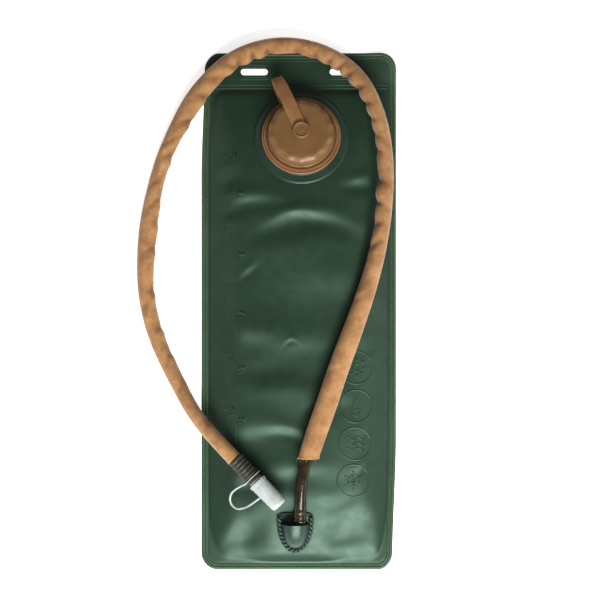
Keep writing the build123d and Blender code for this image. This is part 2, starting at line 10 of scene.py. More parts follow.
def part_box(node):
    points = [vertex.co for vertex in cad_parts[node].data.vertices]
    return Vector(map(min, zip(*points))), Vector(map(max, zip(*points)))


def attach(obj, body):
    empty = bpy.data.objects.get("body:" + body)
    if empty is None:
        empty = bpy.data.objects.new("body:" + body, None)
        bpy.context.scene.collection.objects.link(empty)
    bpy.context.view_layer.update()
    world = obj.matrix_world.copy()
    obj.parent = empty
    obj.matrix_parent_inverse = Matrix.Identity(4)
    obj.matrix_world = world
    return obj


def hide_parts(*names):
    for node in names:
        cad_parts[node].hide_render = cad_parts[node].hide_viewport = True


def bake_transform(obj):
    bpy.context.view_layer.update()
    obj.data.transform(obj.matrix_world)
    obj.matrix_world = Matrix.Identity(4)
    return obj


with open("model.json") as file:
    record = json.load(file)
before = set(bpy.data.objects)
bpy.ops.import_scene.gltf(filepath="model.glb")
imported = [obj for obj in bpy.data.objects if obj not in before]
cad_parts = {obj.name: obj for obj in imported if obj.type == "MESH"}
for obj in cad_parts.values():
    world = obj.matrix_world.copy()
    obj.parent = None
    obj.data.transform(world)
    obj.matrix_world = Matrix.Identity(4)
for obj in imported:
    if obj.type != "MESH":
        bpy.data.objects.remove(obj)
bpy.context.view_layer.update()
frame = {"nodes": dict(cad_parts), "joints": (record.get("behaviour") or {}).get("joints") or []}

# The hydration bladder's looks. Shapes are worked out in millimetres and turned into
# metres as their meshes are made; the hose's route is in metres, as the frame is.

scene = bpy.context.scene
MM = 0.001

# ---- the bag, as the frame has it
film_low, film_high = (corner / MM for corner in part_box("front_film"))
HALF_WIDTH = film_high.x
HALF_LENGTH = film_high.y
CROWN = film_high.z
FILM = film_low.z
CORNER_R = 14.0
RIM_TOP = 2 * FILM
WELD_WIDTH = 6.0

# ---- the hose's route, in metres
ROUTE = [
    (0.0011, -0.1744, 0.0196), (0.0011, -0.1535, 0.0244), (0.0026, -0.1340, 0.0274),
    (0.0106, -0.1060, 0.0288), (0.0210, -0.0775, 0.0289), (0.0320, -0.0445, 0.0284),
    (0.0440, -0.0135, 0.0274), (0.0555, 0.0185, 0.0248), (0.0655, 0.0530, 0.0212),
    (0.0710, 0.0885, 0.0186), (0.0720, 0.1250, 0.0180), (0.0660, 0.1605, 0.0196),
    (0.0510, 0.1950, 0.0124), (0.0200, 0.2160, 0.0092), (-0.0165, 0.2220, 0.0088),
    (-0.0525, 0.2115, 0.0094), (-0.0795, 0.1865, 0.0092), (-0.0985, 0.1550, 0.0078),
    (-0.1135, 0.1220, 0.0074), (-0.1225, 0.0865, 0.0072), (-0.1270, 0.0505, 0.0072),
    (-0.1270, 0.0140, 0.0072), (-0.1180, -0.0220, 0.0074), (-0.1020, -0.0545, 0.0082),
    (-0.0850, -0.0870, 0.0134), (-0.0595, -0.1125, 0.0256), (-0.0465, -0.1258, 0.0273),
]
TUBE_R = 4.75
TUBE_BORE_R = 3.2
SLEEVE_FLAT_WIDTH = 0.0424


# ---- places

def seat(origin, z_axis, x_axis):
    """A local frame: origin in millimetres, z along z_axis, x near x_axis."""
    z = Vector(z_axis).normalized()
    y = z.cross(Vector(x_axis)).normalized()
    x = y.cross(z)
    place = Matrix((x, y, z)).transposed().to_4x4()
    place.translation = Vector(origin)
    return place


joints = {joint["name"]: joint for joint in frame["joints"]}
NECK = seat(Vector(joints["cap_turn"]["pos_m"]) / MM, joints["cap_turn"]["axis"], (1, 0, 0))

PORT_FOOT = (-2.9, -182.7, 10.95)
PORT_TILT = math.radians(12.9)
PORT = seat(PORT_FOOT, (0, -math.sin(PORT_TILT), math.cos(PORT_TILT)), (1, 0, 0))

HOSE_END = Vector(ROUTE[-1]) / MM
HOSE_END_WAY = (Vector(ROUTE[-1]) - Vector(ROUTE[-2])).normalized()
VALVE = seat(HOSE_END, HOSE_END_WAY, HOSE_END_WAY.cross(Vector((0, 0, 1))))
# the valve's seat has its y axis pointing down, so a height above it is a negative y


# ---- materials

# places of a mix node's colour sockets
MIX_FACTOR, MIX_FIRST, MIX_SECOND, MIX_COLOUR = 0, 6, 7, 2


class Surface:
    """A Principled material and short ways to add the nodes that drive it."""

    def __init__(self, name, **constants):
        self.material = bpy.data.materials.new(name)
        self.material.use_nodes = True
        self.tree = self.material.node_tree
        self.shader = self.tree.nodes["Principled BSDF"]
        self.place = self.node("ShaderNodeTexCoord").outputs["Object"]
        for socket, value in constants.items():
            self.shader.inputs[socket.replace("_", " ")].default_value = value

    def node(self, kind, inputs=(), **settings):
        made = self.tree.nodes.new(kind)
        for key, value in settings.items():
            setattr(made, key, value)
        for key, value in dict(inputs).items():
            if isinstance(value, bpy.types.NodeSocket):
                self.tree.links.new(value, made.inputs[key])
            else:
                made.inputs[key].default_value = value
        return made

    def noise(self, size, detail=2.0, roughness=0.5):
        """Noise whose features are about size millimetres."""
        inputs = {"Vector": self.place, "Scale": 1 / (size * MM), "Detail": detail, "Roughness": roughness}
        return self.node("ShaderNodeTexNoise", inputs).outputs["Fac"]

    def clouds(self, size, detail, low, high, out_low=0.0, out_high=1.0, roughness=0.5):
        """Noise from low to high, carried over to out_low to out_high."""
        return self.spread(self.noise(size, detail, roughness), low, high, out_low, out_high)

    def attribute(self, name):
        return self.node("ShaderNodeAttribute", attribute_name=name).outputs["Fac"]

    def math(self, operation, *values):
        return self.node("ShaderNodeMath", dict(enumerate(values)), operation=operation).outputs[0]

    def spread(self, value, low, high, out_low=0.0, out_high=1.0):
        """The value from low to high, carried over to out_low to out_high."""
        ends = {"From Min": low, "From Max": high, "To Min": out_low, "To Max": out_high}
        return self.node("ShaderNodeMapRange", {"Value": value, **ends}).outputs["Result"]

    def mix(self, factor, *colours):
        """Two colours mixed, each a socket or red, green and blue."""
        first, second = (
            colour if isinstance(colour, bpy.types.NodeSocket) else (*colour, 1) for colour in colours
        )
        inputs = {MIX_FACTOR: factor, MIX_FIRST: first, MIX_SECOND: second}
        return self.node("ShaderNodeMix", inputs, data_type="RGBA").outputs[MIX_COLOUR]

    def colour(self, socket):
        self.tree.links.new(socket, self.shader.inputs["Base Color"])

    def roughness(self, socket):
        self.tree.links.new(socket, self.shader.inputs["Roughness"])

    def relief(self, height, distance, strength=1.0, under=None):
        """Bump of distance millimetres for a height from 0 to 1."""
        inputs = {"Height": height, "Distance": distance * MM, "Strength": strength}
        if under is not None:
            inputs["Normal"] = under
        normal = self.node("ShaderNodeBump", inputs).outputs["Normal"]
        self.tree.links.new(normal, self.shader.inputs["Normal"])
        return normal


def film_material(name, dark, light, gloss):
    """Coated film: a faint leathery grain, cloudy gloss and a little colour drift."""
    made = Surface(name, Specular_IOR_Level=0.55, IOR=1.48, Specular_Tint=(0.66, 1.0, 0.80, 1.0))
    made.colour(made.mix(made.clouds(38, 3, 0.32, 0.68), dark, light))
    made.roughness(made.clouds(9, 4, 0.3, 0.7, gloss - 0.04, gloss + 0.05))
    grain = made.relief(made.noise(0.9, 3, 0.6), 0.02, 0.55)
    made.relief(made.noise(7, 2), 0.10, 0.35, grain)
    return made.material


CAP_EDGE_HEIGHT = 7.6


def cap_edge_painted_shade(made):
    """Mask of the painted shadow under the cap's edge: 1 on the band of the neck that the cap's lower edge
    meets, 0 elsewhere.
    """
    middle = tuple(NECK @ Vector((0, 0, CAP_EDGE_HEIGHT)) * MM)
    inputs = {0: made.place, 1: middle}
    offset = made.node("ShaderNodeVectorMath", inputs, operation="DISTANCE").outputs["Value"]
    inside = made.spread(offset, 0.0270, 0.0278)
    outside = made.spread(offset, 0.0288, 0.0294, 1.0, 0.0)
    return made.math("MULTIPLY", made.math("MULTIPLY", inside, outside), 0.80)


def moulded_material(name, dark, light, gloss, paint_cap_shadow=False, **constants):
    """Injection-moulded plastic: spark-eroded texture and faint flow marks, and on the neck a painted shadow
    line under the cap's edge."""
    made = Surface(name, **{"Specular_IOR_Level": 0.45, "IOR": 1.5, **constants})
    tone = made.mix(made.clouds(14, 4, 0.35, 0.65, roughness=0.6), dark, light)
    if paint_cap_shadow:
        # painted shade: a dark brown line on the neck where the cap's lower edge shades it
        tone = made.mix(cap_edge_painted_shade(made), tone, (0.034, 0.013, 0.005))
    made.colour(tone)
    made.roughness(made.clouds(2.2, 3, 0.3, 0.7, gloss - 0.05, gloss + 0.06))
    made.relief(made.noise(0.35, 2), 0.012, 0.5)
    return made.material


def clear_material(name, dark, light, gloss, transmission, **constants):
    """See-through plastic with slight clouding."""
    constants = {"Specular_IOR_Level": 0.5, "IOR": 1.45, **constants}
    made = Surface(name, Transmission_Weight=transmission, **constants)
    made.colour(made.mix(made.clouds(6, 3, 0.35, 0.65), dark, light))
    made.roughness(made.clouds(3, 3, 0.3, 0.7, gloss - 0.03, gloss + 0.05))
    made.relief(made.noise(1.1, 2), 0.01, 0.4)
    return made.material


THREAD_PITCH = 0.62


def fabric_material(name, dark, light, wear_and_highlight):
    """Plain-woven tape: threads over and under, slubs, soft sheen and rubbed patches, with painted shade in
    the thread gaps, the fold valleys and on the inner side, and a painted highlight along the pressed edges.
    """
    made = Surface(name, Sheen_Weight=0.35, Sheen_Roughness=0.45, Specular_IOR_Level=0.2)
    along, around = made.attribute("along"), made.attribute("around")
    pitch = 2 * math.pi / THREAD_PITCH
    warp = made.math("SINE", made.math("MULTIPLY", around, pitch))
    weft = made.math("SINE", made.math("MULTIPLY", along, pitch))
    weave = made.math("MULTIPLY", warp, weft)
    tone = made.mix(made.clouds(12, 4, 0.34, 0.66, roughness=0.6), dark, light)
    rubbed = made.clouds(4.5, 4, 0.5, 0.75, roughness=0.65)
    tone = made.mix(made.math("MULTIPLY", rubbed, 0.45), tone, wear_and_highlight)
    # painted highlight: lighter along the upper side of the sleeve's pressed edges, in the same colour as the
    # rubbed patches
    tone = made.mix(made.math("MULTIPLY", made.attribute("edge"), 0.75), tone, wear_and_highlight)
    # painted shade: darker rust brown in the sleeve's fold valleys and on its inner side
    shade = made.math("MULTIPLY", made.math("MINIMUM", made.attribute("sleeve_painted_shade"), 1.0), 0.80)
    tone = made.mix(shade, tone, (0.42 * dark[0], 0.30 * dark[1], 0.24 * dark[2]))
    # painted shade in the gaps between the threads
    thread_gap_shade = made.spread(weave, -1.0, 0.2, 0.22, 0.0)
    made.colour(made.mix(thread_gap_shade, tone, tuple(0.35 * part for part in dark)))
    made.roughness(made.spread(weave, -1.0, 1.0, 0.92, 0.74))
    threads = made.relief(made.spread(weave, -1.0, 1.0), 0.10, 0.6)
    made.relief(made.noise(3.2, 3), 0.25, 0.35, threads)
    return made.material


def rubber_material(name, dark, light, gloss):
    """Soft rubber with a dusty bloom."""
    made = Surface(name, Specular_IOR_Level=0.35, Sheen_Weight=0.08)
    made.colour(made.mix(made.clouds(3.5, 4, 0.4, 0.68, roughness=0.6), dark, light))
    made.roughness(made.clouds(1.2, 3, 0.3, 0.7, gloss - 0.06, gloss + 0.06))
    made.relief(made.noise(0.5, 2), 0.02, 0.5)
    return made.material


FILM_GREEN = film_material("film_green", (0.0095, 0.0235, 0.0125), (0.0130, 0.0300, 0.0160), 0.45)
WELD_GREEN = film_material("weld_green", (0.018, 0.038, 0.018), (0.028, 0.052, 0.025), 0.40)
WELD_LIGHT = film_material("weld_light", (0.034, 0.062, 0.032), (0.052, 0.084, 0.044), 0.42)
PORT_GREEN = moulded_material(
    "port_green", (0.017, 0.034, 0.025), (0.025, 0.045, 0.034), 0.40, Specular_Tint=(0.72, 1.0, 0.86, 1.0)
)
CAP_TAN = moulded_material(
    "cap_tan", (0.160, 0.079, 0.027), (0.195, 0.099, 0.036), 0.42,
    Specular_Tint=(1.0, 0.86, 0.68, 1.0), Specular_IOR_Level=0.62,
)
TETHER_TAN = moulded_material(
    "tether_tan", (0.240, 0.110, 0.044), (0.290, 0.140, 0.060), 0.42, Specular_Tint=(1.0, 0.84, 0.64, 1.0)
)
# the neck gets a painted shadow line under the cap's edge
NECK_TAN = moulded_material("neck_tan", (0.215, 0.098, 0.036), (0.260, 0.124, 0.050), 0.42, True)
SEAL_RUBBER = rubber_material("seal_rubber", (0.010, 0.010, 0.011), (0.022, 0.022, 0.024), 0.5)
ELBOW_SMOKY = clear_material("elbow_smoky", (0.050, 0.045, 0.038), (0.085, 0.078, 0.064), 0.10, 0.5)
HOSE_AMBER = clear_material(
    "hose_amber", (0.022, 0.017, 0.008), (0.050, 0.038, 0.018), 0.10, 0.35, Specular_IOR_Level=0.20
)
# the last colour serves the rubbed patches and the painted highlight on the pressed edges
SLEEVE_TAN = fabric_material(
    "sleeve_fabric", (0.275, 0.124, 0.043), (0.425, 0.222, 0.087), (0.560, 0.345, 0.170)
)
BARB_DARK = moulded_material("barb_dark", (0.016, 0.017, 0.017), (0.030, 0.031, 0.031), 0.35)
GRIP_RUBBER = rubber_material("grip_rubber", (0.022, 0.022, 0.013), (0.048, 0.047, 0.031), 0.52)
MOUTH_SILICONE = clear_material("mouth_silicone", (0.40, 0.44, 0.46), (0.55, 0.58, 0.59), 0.35, 0.30)
FROSTED = clear_material("dust_cap_frosted", (0.43, 0.47, 0.455), (0.55, 0.59, 0.57), 0.30, 0.22)


# ---- meshes

def add_piece(name, points, faces, materials, face_materials=None, attributes=None, merge=False):
    """A smooth mesh object from points in millimetres, with outward normals."""
    mesh = bpy.data.meshes.new(name)
    mesh.from_pydata([tuple(float(part) * MM for part in point) for point in points], [], faces)
    for material in materials:
        mesh.materials.append(material)
    if face_materials is not None:
        mesh.polygons.foreach_set("material_index", np.asarray(face_materials, np.int32))
    for key, values in (attributes or {}).items():
        layer = mesh.attributes.new(key, "FLOAT", "POINT")
        layer.data.foreach_set("value", np.asarray(values, np.float32))
    shape = bmesh.new()
    shape.from_mesh(mesh)
    if merge:
        bmesh.ops.remove_doubles(shape, verts=shape.verts, dist=0.002 * MM)
    bmesh.ops.recalc_face_normals(shape, faces=shape.faces)
    shape.to_mesh(mesh)
    shape.free()
    mesh.shade_smooth()
    made = bpy.data.objects.new(name, mesh)
    scene.collection.objects.link(made)
    return made


def grid_faces(rows, columns, start=0, round_rows=False, round_columns=False):
    """Quads of a grid of points, row after row."""
    faces = []
    for row in range(rows if round_rows else rows - 1):
        for column in range(columns if round_columns else columns - 1):
            right, below = (column + 1) % columns, (row + 1) % rows
            faces.append((
                start + row * columns + column,
                start + row * columns + right,
                start + below * columns + right,
                start + below * columns + column,
            ))
    return faces


def capped_faces(rows, columns, start):
    """Faces of a round bar: its side and both ends."""
    faces = grid_faces(rows, columns, start, round_columns=True)
    last = start + (rows - 1) * columns
    faces.append(tuple(range(start + columns - 1, start - 1, -1)))
    faces.append(tuple(range(last, last + columns)))
    return faces


def crease_by_angle(piece, degrees):
    """Edges sharper than the angle are shaded as corners."""
    piece.data.set_sharp_from_angle(angle=math.radians(degrees))


def full_turn(count):
    """Evenly spaced angles, once round."""
    return np.linspace(0, 2 * math.pi, count, endpoint=False)


def lathe(profile, place, segments, reach=None, closed=False, start=0):
    """Points and faces of a body turned round the place's z axis. The profile's r and h
    start and end on the axis or are a closed outline; reach gives each point's radius."""
    points = []
    for turn in full_turn(segments):
        for step, (r, h) in enumerate(profile):
            radius = reach(step, r, turn) if reach else r
            points.append(place @ Vector((radius * math.cos(turn), radius * math.sin(turn), h)))
    return points, grid_faces(segments, len(profile), start, True, closed)


def turned_piece(name, profile, place, segments, material, crease, keep, reach=None):
    """A piece turned round the place's z axis from a profile that meets the axis."""
    piece = add_piece(name, *lathe(profile, place, segments, reach), [material], merge=True)
    keep_as(piece, *keep)
    crease_by_angle(piece, crease)
    return piece


def pipe(outer, inner):
    """Points and faces of an open tube from the rings of its outer and inner side."""
    rows, segments = outer.shape[:2]
    points = np.concatenate([outer.reshape(-1, 3), inner[::-1].reshape(-1, 3)])
    return points, grid_faces(2 * rows, segments, round_rows=True, round_columns=True)


def keep_as(piece, body, slot, *nodes):
    """The piece rides on the body and stands for the nodes, which are hidden; the slot is not used."""
    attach(piece, body)
    if nodes:
        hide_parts(*nodes)


def blend_between(piece, place, low, high, body, slot, node):
    """The piece's placement is baked into its mesh and the node is hidden; place, low, high, body and slot
    are not used."""
    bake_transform(piece)
    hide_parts(node)


# ---- lines

def centre_line(points):
    """The smooth line of a NURBS spline with these points as its control points."""
    curve = bpy.data.curves.new("line", "CURVE")
    curve.dimensions = "3D"
    spline = curve.splines.new("NURBS")
    spline.points.add(len(points) - 1)
    for knot, point in zip(spline.points, points):
        knot.co = (*point, 1.0)
    spline.order_u = 3
    spline.use_endpoint_u = True
    spline.resolution_u = 24
    holder = bpy.data.objects.new("line", curve)
    mesh = bpy.data.meshes.new_from_object(holder)
    line = np.array([vertex.co for vertex in mesh.vertices])
    bpy.data.objects.remove(holder)
    bpy.data.curves.remove(curve)
    bpy.data.meshes.remove(mesh)
    return line


def lengths_along(line):
    """How far along the line each of its points is."""
    return np.concatenate([[0], np.cumsum(np.linalg.norm(np.diff(line, axis=0), axis=1))])


def points_at(line, along):
    """The line's points at these lengths along it."""
    lengths = lengths_along(line)
    return np.stack([np.interp(along, lengths, part) for part in line.T], axis=-1)


def evenly(line, step, start=0.0, end=None):
    """The line, or its stretch from start to end, with points about step apart, and how
    far along each one is."""
    if end is None:
        end = lengths_along(line)[-1]
    along = np.linspace(start, end, max(2, int(round((end - start) / step)) + 1))
    return points_at(line, along), along


def sides_of(points, up=(0.0, 0.0, 1.0)):
    """Each point's direction, level side and upward side."""
    way = np.gradient(points, axis=0)
    way /= np.linalg.norm(way, axis=1, keepdims=True)
    side = np.cross(way, np.array(up))
    side /= np.linalg.norm(side, axis=1, keepdims=True)
    return way, side, np.cross(side, way)


def round_tube(points, radius, segments, up=(0.0, 0.0, 1.0)):
    """Rings of points round a line; radius is one number or one for each point."""
    _, side, rise = sides_of(points, up)
    turn = full_turn(segments)[None, :, None]
    radius = np.broadcast_to(np.asarray(radius, float), (len(points),))[:, None, None]
    across = radius * np.cos(turn) * side[:, None, :]
    return points[:, None, :] + across + radius * np.sin(turn) * rise[:, None, :]


# ---- film shape

def ease(value, low, high):
    """0 below low, 1 above high and smooth between."""
    share = np.clip((value - low) / (high - low), 0.0, 1.0)
    return share * share * (3.0 - 2.0 * share)


def bell(value, reach):
    """1 at nought, falling away to both sides over about reach."""
    return np.exp(-((value / reach) ** 2))


def soft_least(first, second, blend):
    """The lesser of two heights, with the corner between them rounded over blend."""
    share = np.clip(0.5 + 0.5 * (second - first) / blend, 0.0, 1.0)
    return second * (1 - share) + first * share - blend * share * (1 - share)


def edge_distance(x, y):
    """How far inside the bag's outline a point lies."""
    over_x = np.abs(x) - (HALF_WIDTH - CORNER_R)
    over_y = np.abs(y) - (HALF_LENGTH - CORNER_R)
    in_corner = (over_x > 0) & (over_y > 0)
    straight = CORNER_R - np.maximum(over_x, over_y)
    return np.where(in_corner, CORNER_R - np.hypot(over_x, over_y), straight)


def smoothed(heights, reach, step):
    """A profile, one height every step, with its corners rounded over about reach."""
    half = int(3 * reach / step)
    weights = np.exp(-0.5 * (np.arange(-half, half + 1) * step / reach) ** 2)
    return np.convolve(np.pad(heights, half, mode="edge"), weights / weights.sum(), mode="valid")


# the filled bag along its length: where each weld starts and how steeply the film leaves
# it, and where the arcs at both ends of the level middle begin and turn straight
FOOT_WELD_Y, FOOT_WELD_SLOPE = -208.5, 0.927
HEAD_WELD_Y, HEAD_WELD_SLOPE = 185.0, 1.475
FOOT_ARC_Y, FOOT_ARC_END_Y, FOOT_ARC_R = -119.7, -163.0, 193.9
HEAD_ARC_Y, HEAD_ARC_END_Y, HEAD_ARC_R = 76.9, 105.0, 161.8
HEAD_SLOPE = math.tan(math.radians(10))
# and across its width: the middle arc, the knee where it gives way to slack, the side weld
CROSS_TOP, CROSS_R = 21.16, 259.7
KNEE_X, KNEE_SLOPE = 46.0, -0.18
WELD_X, WELD_SLOPE = 74.8, -0.62


def plain_long_profile(y):
    """The filled bag's height along its middle, as its solid has it."""
    foot_along = np.clip(y - FOOT_ARC_Y, FOOT_ARC_END_Y - FOOT_ARC_Y, 0)
    head_along = np.clip(y - HEAD_ARC_Y, 0, HEAD_ARC_END_Y - HEAD_ARC_Y)
    foot_arc = CROWN - FOOT_ARC_R + np.sqrt(FOOT_ARC_R**2 - foot_along**2)
    head_arc = CROWN - HEAD_ARC_R + np.sqrt(HEAD_ARC_R**2 - head_along**2)
    foot = foot_arc - math.tan(PORT_TILT) * np.maximum(FOOT_ARC_END_Y - y, 0)
    head = head_arc - HEAD_SLOPE * np.maximum(y - HEAD_ARC_END_Y, 0)
    foot_wall = RIM_TOP + FOOT_WELD_SLOPE * (y - FOOT_WELD_Y)
    head_wall = RIM_TOP + HEAD_WELD_SLOPE * (HEAD_WELD_Y - y)
    return np.minimum(np.minimum(foot, head), np.minimum(foot_wall, head_wall))


def plain_cross_profile(x):
    """The bag's height across its width: a low vault with slack sides."""
    crown = CROSS_TOP - CROSS_R + np.sqrt(CROSS_R**2 - np.minimum(x, KNEE_X) ** 2)
    slack = WELD_X - KNEE_X
    share = np.clip((x - KNEE_X) / slack, 0.0, 1.0)
    side = crown * (2 * share**3 - 3 * share**2 + 1) + RIM_TOP * (3 * share**2 - 2 * share**3)
    side += slack * KNEE_SLOPE * (share**3 - 2 * share**2 + share)
    side += slack * WELD_SLOPE * (share**3 - share**2)
    return np.where(x < KNEE_X, crown, side)


SLACK_FOOT_LENGTH = 112.0
STEP = 0.5
LONG_PLACES = np.arange(-240.0, 240.0, STEP)
LONG_HEIGHTS = smoothed(plain_long_profile(LONG_PLACES), 3.5, STEP)
CROSS_PLACES = np.arange(-100.0, 100.0, STEP)
CROSS_HEIGHTS = smoothed(plain_cross_profile(np.abs(CROSS_PLACES)), 3.0, STEP)


def long_profile(x, y):
    """Height along the bag. Away from the rigid outlet its foot falls in an easy curve."""
    height = np.interp(y, LONG_PLACES, LONG_HEIGHTS)
    share = np.clip((y - FOOT_WELD_Y) / SLACK_FOOT_LENGTH, 0.0, 1.0)
    slack = RIM_TOP + (CROWN - RIM_TOP) * (1 - (1 - share) ** 1.45)
    away = ease(np.abs(x - PORT_FOOT[0]), 16.0, 46.0)
    return height + away * (np.minimum(slack, height) - height)


def cross_profile(x):
    return np.interp(x, CROSS_PLACES, CROSS_HEIGHTS)


# middle x, middle y, half length, reach across, height, turn in degrees, bow
FOLDS = [
    (11, 79, 38, 9.5, 1.45, -2, 10), (-4, 82, 13, 5.0, 0.50, 6, 2), (-44, 93, 30, 7.5, 1.25, 3, 2),
    (-65, 112, 14, 8.0, 1.30, 24, 0), (50, 107, 18, 7.0, 1.20, 3, 0), (-12, 60, 44, 13.0, -0.70, 8, 0),
    (-42, 33, 10, 4.0, 0.55, 40, 0), (-66, 41, 12, 7.0, 0.70, -6, 0), (-60, 86, 16, 7.0, 1.00, 6, 0),
    (-64, 66, 12, 6.0, 0.60, 14, 0), (28, 20, 46, 22.0, 1.20, -3, 0), (-46, -22, 34, 12.0, 1.25, -3, -2),
    (-3, -30, 30, 12.0, 0.75, 8, 2), (-6, -23, 7, 2.4, 0.34, 2, 5), (63, -26, 12, 5.0, 1.10, 24, 0),
    (50, -24, 14, 6.0, 0.45, 10, 0), (-62, -31, 14, 6.0, 1.10, -12, 0),
    (-18, -56, 38, 11.0, -0.95, 0, 3), (-60, -66, 14, 7.0, 0.55, 18, 0),
    (-36, -99, 30, 13.0, 1.15, 7, 3), (-10, -98, 15, 6.0, 0.75, -12, 2),
    (62, -101, 12, 6.0, 0.80, -8, 0), (22, -76, 20, 9.0, 0.60, 10, 0), (64, -125, 16, 5.0, 0.95, 20, 0),
    (-8, -132, 30, 10.0, 0.80, 6, 2), (-52, -138, 18, 8.0, 0.55, -20, 0),
    (22, -158, 22, 8.0, 0.55, 16, 0), (-42, -176, 30, 12.0, 0.85, 21, 3),
    (-40, -197, 22, 9.0, -0.55, 14, 0), (44, -170, 34, 12.0, 0.90, 20, -3),
    (30, -196, 30, 9.0, -0.80, 10, 0), (-24, -150, 22, 9.0, -0.60, 8, 0),
]


# brings the crest of a roll, share times its bell, to a height of one
ROLL_GAIN = 2.33


def folds_at(x, y):
    """Low rolls in the film, each with its steeper face towards the bag's foot."""
    height = np.zeros_like(x)
    for middle_x, middle_y, half_length, reach, rise, turn, bow in FOLDS:
        angle = math.radians(turn)
        along = (x - middle_x) * math.cos(angle) + (y - middle_y) * math.sin(angle)
        across = (y - middle_y) * math.cos(angle) - (x - middle_x) * math.sin(angle)
        across = across + bow * (along / half_length) ** 2
        share = across / reach
        height += rise * ROLL_GAIN * share * bell(share, 1.0) * bell(along, half_length)
    return height


def ripples_at(x, y):
    """Slight unevenness that no fold accounts for."""
    slow = np.sin(x / 17.3 + 0.6 * np.sin(y / 31.0)) * np.sin(y / 23.7 + 1.1)
    drift = np.sin(x / 29.0 - y / 37.0 + 0.8 * np.sin(y / 19.0)) * np.sin(y / 15.3 + x / 43.0)
    quick = np.sin(x / 7.9 + y / 12.3 + 0.7) * np.sin(y / 9.1 - x / 21.0)
    return 0.34 * slow + 0.30 * drift + 0.06 * quick


def calm_near_fittings(x, y):
    """1 on open film, 0 at the weld, the filling port and the outlet."""
    rim = ease(edge_distance(x, y), 8.0, 30.0)
    header = 1.0 - ease(y, 150.0, 182.0)
    neck = ease(np.hypot(x - NECK.translation.x, y - NECK.translation.y), 38.5, 62.0)
    reach_x = np.maximum(np.abs(x - PORT_FOOT[0]) - 14.0, 0)
    reach_y = np.maximum(np.abs(y - PORT_FOOT[1]) - 17.0, 0)
    port = ease(np.hypot(reach_x, reach_y), 1.0, 24.0)
    return rim * header * neck * port


def puckers_at(x, y):
    """Short gathers that run in from the side welds."""
    inside = HALF_WIDTH - np.abs(x) - 7.0
    fade = np.exp(-np.maximum(inside, 0) / 9.0) * ease(inside, -0.5, 2.5)
    length = np.sin(y / 5.3 + 1.7 * np.sin(y / 29.0)) * (0.55 + 0.45 * np.sin(y / 41.0 + x / 90))
    length += 0.8 * np.sin(y / 11.7 + 2.1 * np.sin(y / 47.0) + x / 60)
    return 0.20 * fade * length * (1 - ease(np.abs(y), 165.0, 185.0))


def rim_profile(inside):
    """The perimeter weld: a rolled edge, then grooves on both sides of the inner track."""
    edge = -0.5 * (1 - ease(inside, 0.0, 0.9))
    outer_groove = -0.26 * ease(inside, 2.4, 2.8) * (1 - ease(inside, 3.1, 3.5))
    inner_groove = -0.26 * ease(inside, 4.9, 5.3) * (1 - ease(inside, 5.8, 6.4))
    return edge + outer_groove + inner_groove


def header_lift(x, y):
    """The loose header curls up at its right-hand corner and waves a little."""
    corner = 4.4 * ease(x, 50.0, 82.0) * ease(y, 184.0, 216.0)
    wave = 0.45 * np.sin(x / 21.0 + 0.9) * ease(y, 187.0, 200.0) * ease(HALF_WIDTH - np.abs(x), 2.0, 20.0)
    return corner + np.maximum(wave, 0.0)


CROWN_BLEND = 11.0
LEAST_HEIGHT = 0.9


def film_height(x, y):
    """The front film's outer face."""
    x, y = np.asarray(x, float), np.asarray(y, float)
    body = soft_least(long_profile(x, y), cross_profile(x), CROWN_BLEND)
    body = body + calm_near_fittings(x, y) * (folds_at(x, y) + ripples_at(x, y)) + puckers_at(x, y)
    inside = edge_distance(x, y)
    rim = RIM_TOP + rim_profile(inside)
    share = ease(body, RIM_TOP - 0.3, RIM_TOP + 1.6) * ease(inside, 5.6, 7.2)
    return rim * (1 - share) + np.maximum(body, LEAST_HEIGHT) * share + header_lift(x, y)


def outline_grid():
    """x and y of a grid that follows the bag's outline, with rows and columns close
    together at the weld."""
    turn = np.linspace(0, math.pi / 2, 15)
    corner_y = HALF_LENGTH - CORNER_R
    corner = corner_y + CORNER_R * np.sin(turn)
    straight = np.linspace(-corner_y, corner_y, 252)
    y = np.concatenate([-corner[::-1], straight[1:-1], corner])
    over = np.maximum(np.abs(y) - corner_y, 0)
    half = HALF_WIDTH - CORNER_R + np.sqrt(np.maximum(CORNER_R**2 - over**2, 0))
    border = np.array([0, 0.25, 0.55, 0.95, 1.6, 2.2, 2.6, 3.0, 3.4, 3.8, 4.7, 5.1, 5.5, 5.9, 6.3, 6.8, 7.5])
    across = HALF_WIDTH - np.concatenate([border, np.linspace(8.4, HALF_WIDTH, 46)])
    columns = np.concatenate([-across, across[::-1][1:]])
    share = columns / HALF_WIDTH
    return share[None, :] * half[:, None], np.broadcast_to(y[:, None], (len(y), len(columns))).copy()


def pulled_in(x, y):
    """x after the welds have drawn in: on the right towards the foot, on the left to the top."""
    foot = ease(-y, 100.0, 215.0) * ease(x, 61.0, 80.0)
    head = ease(y, 110.0, 205.0) * ease(-x, 61.0, 80.0)
    return x - 3.2 * foot + 2.6 * head


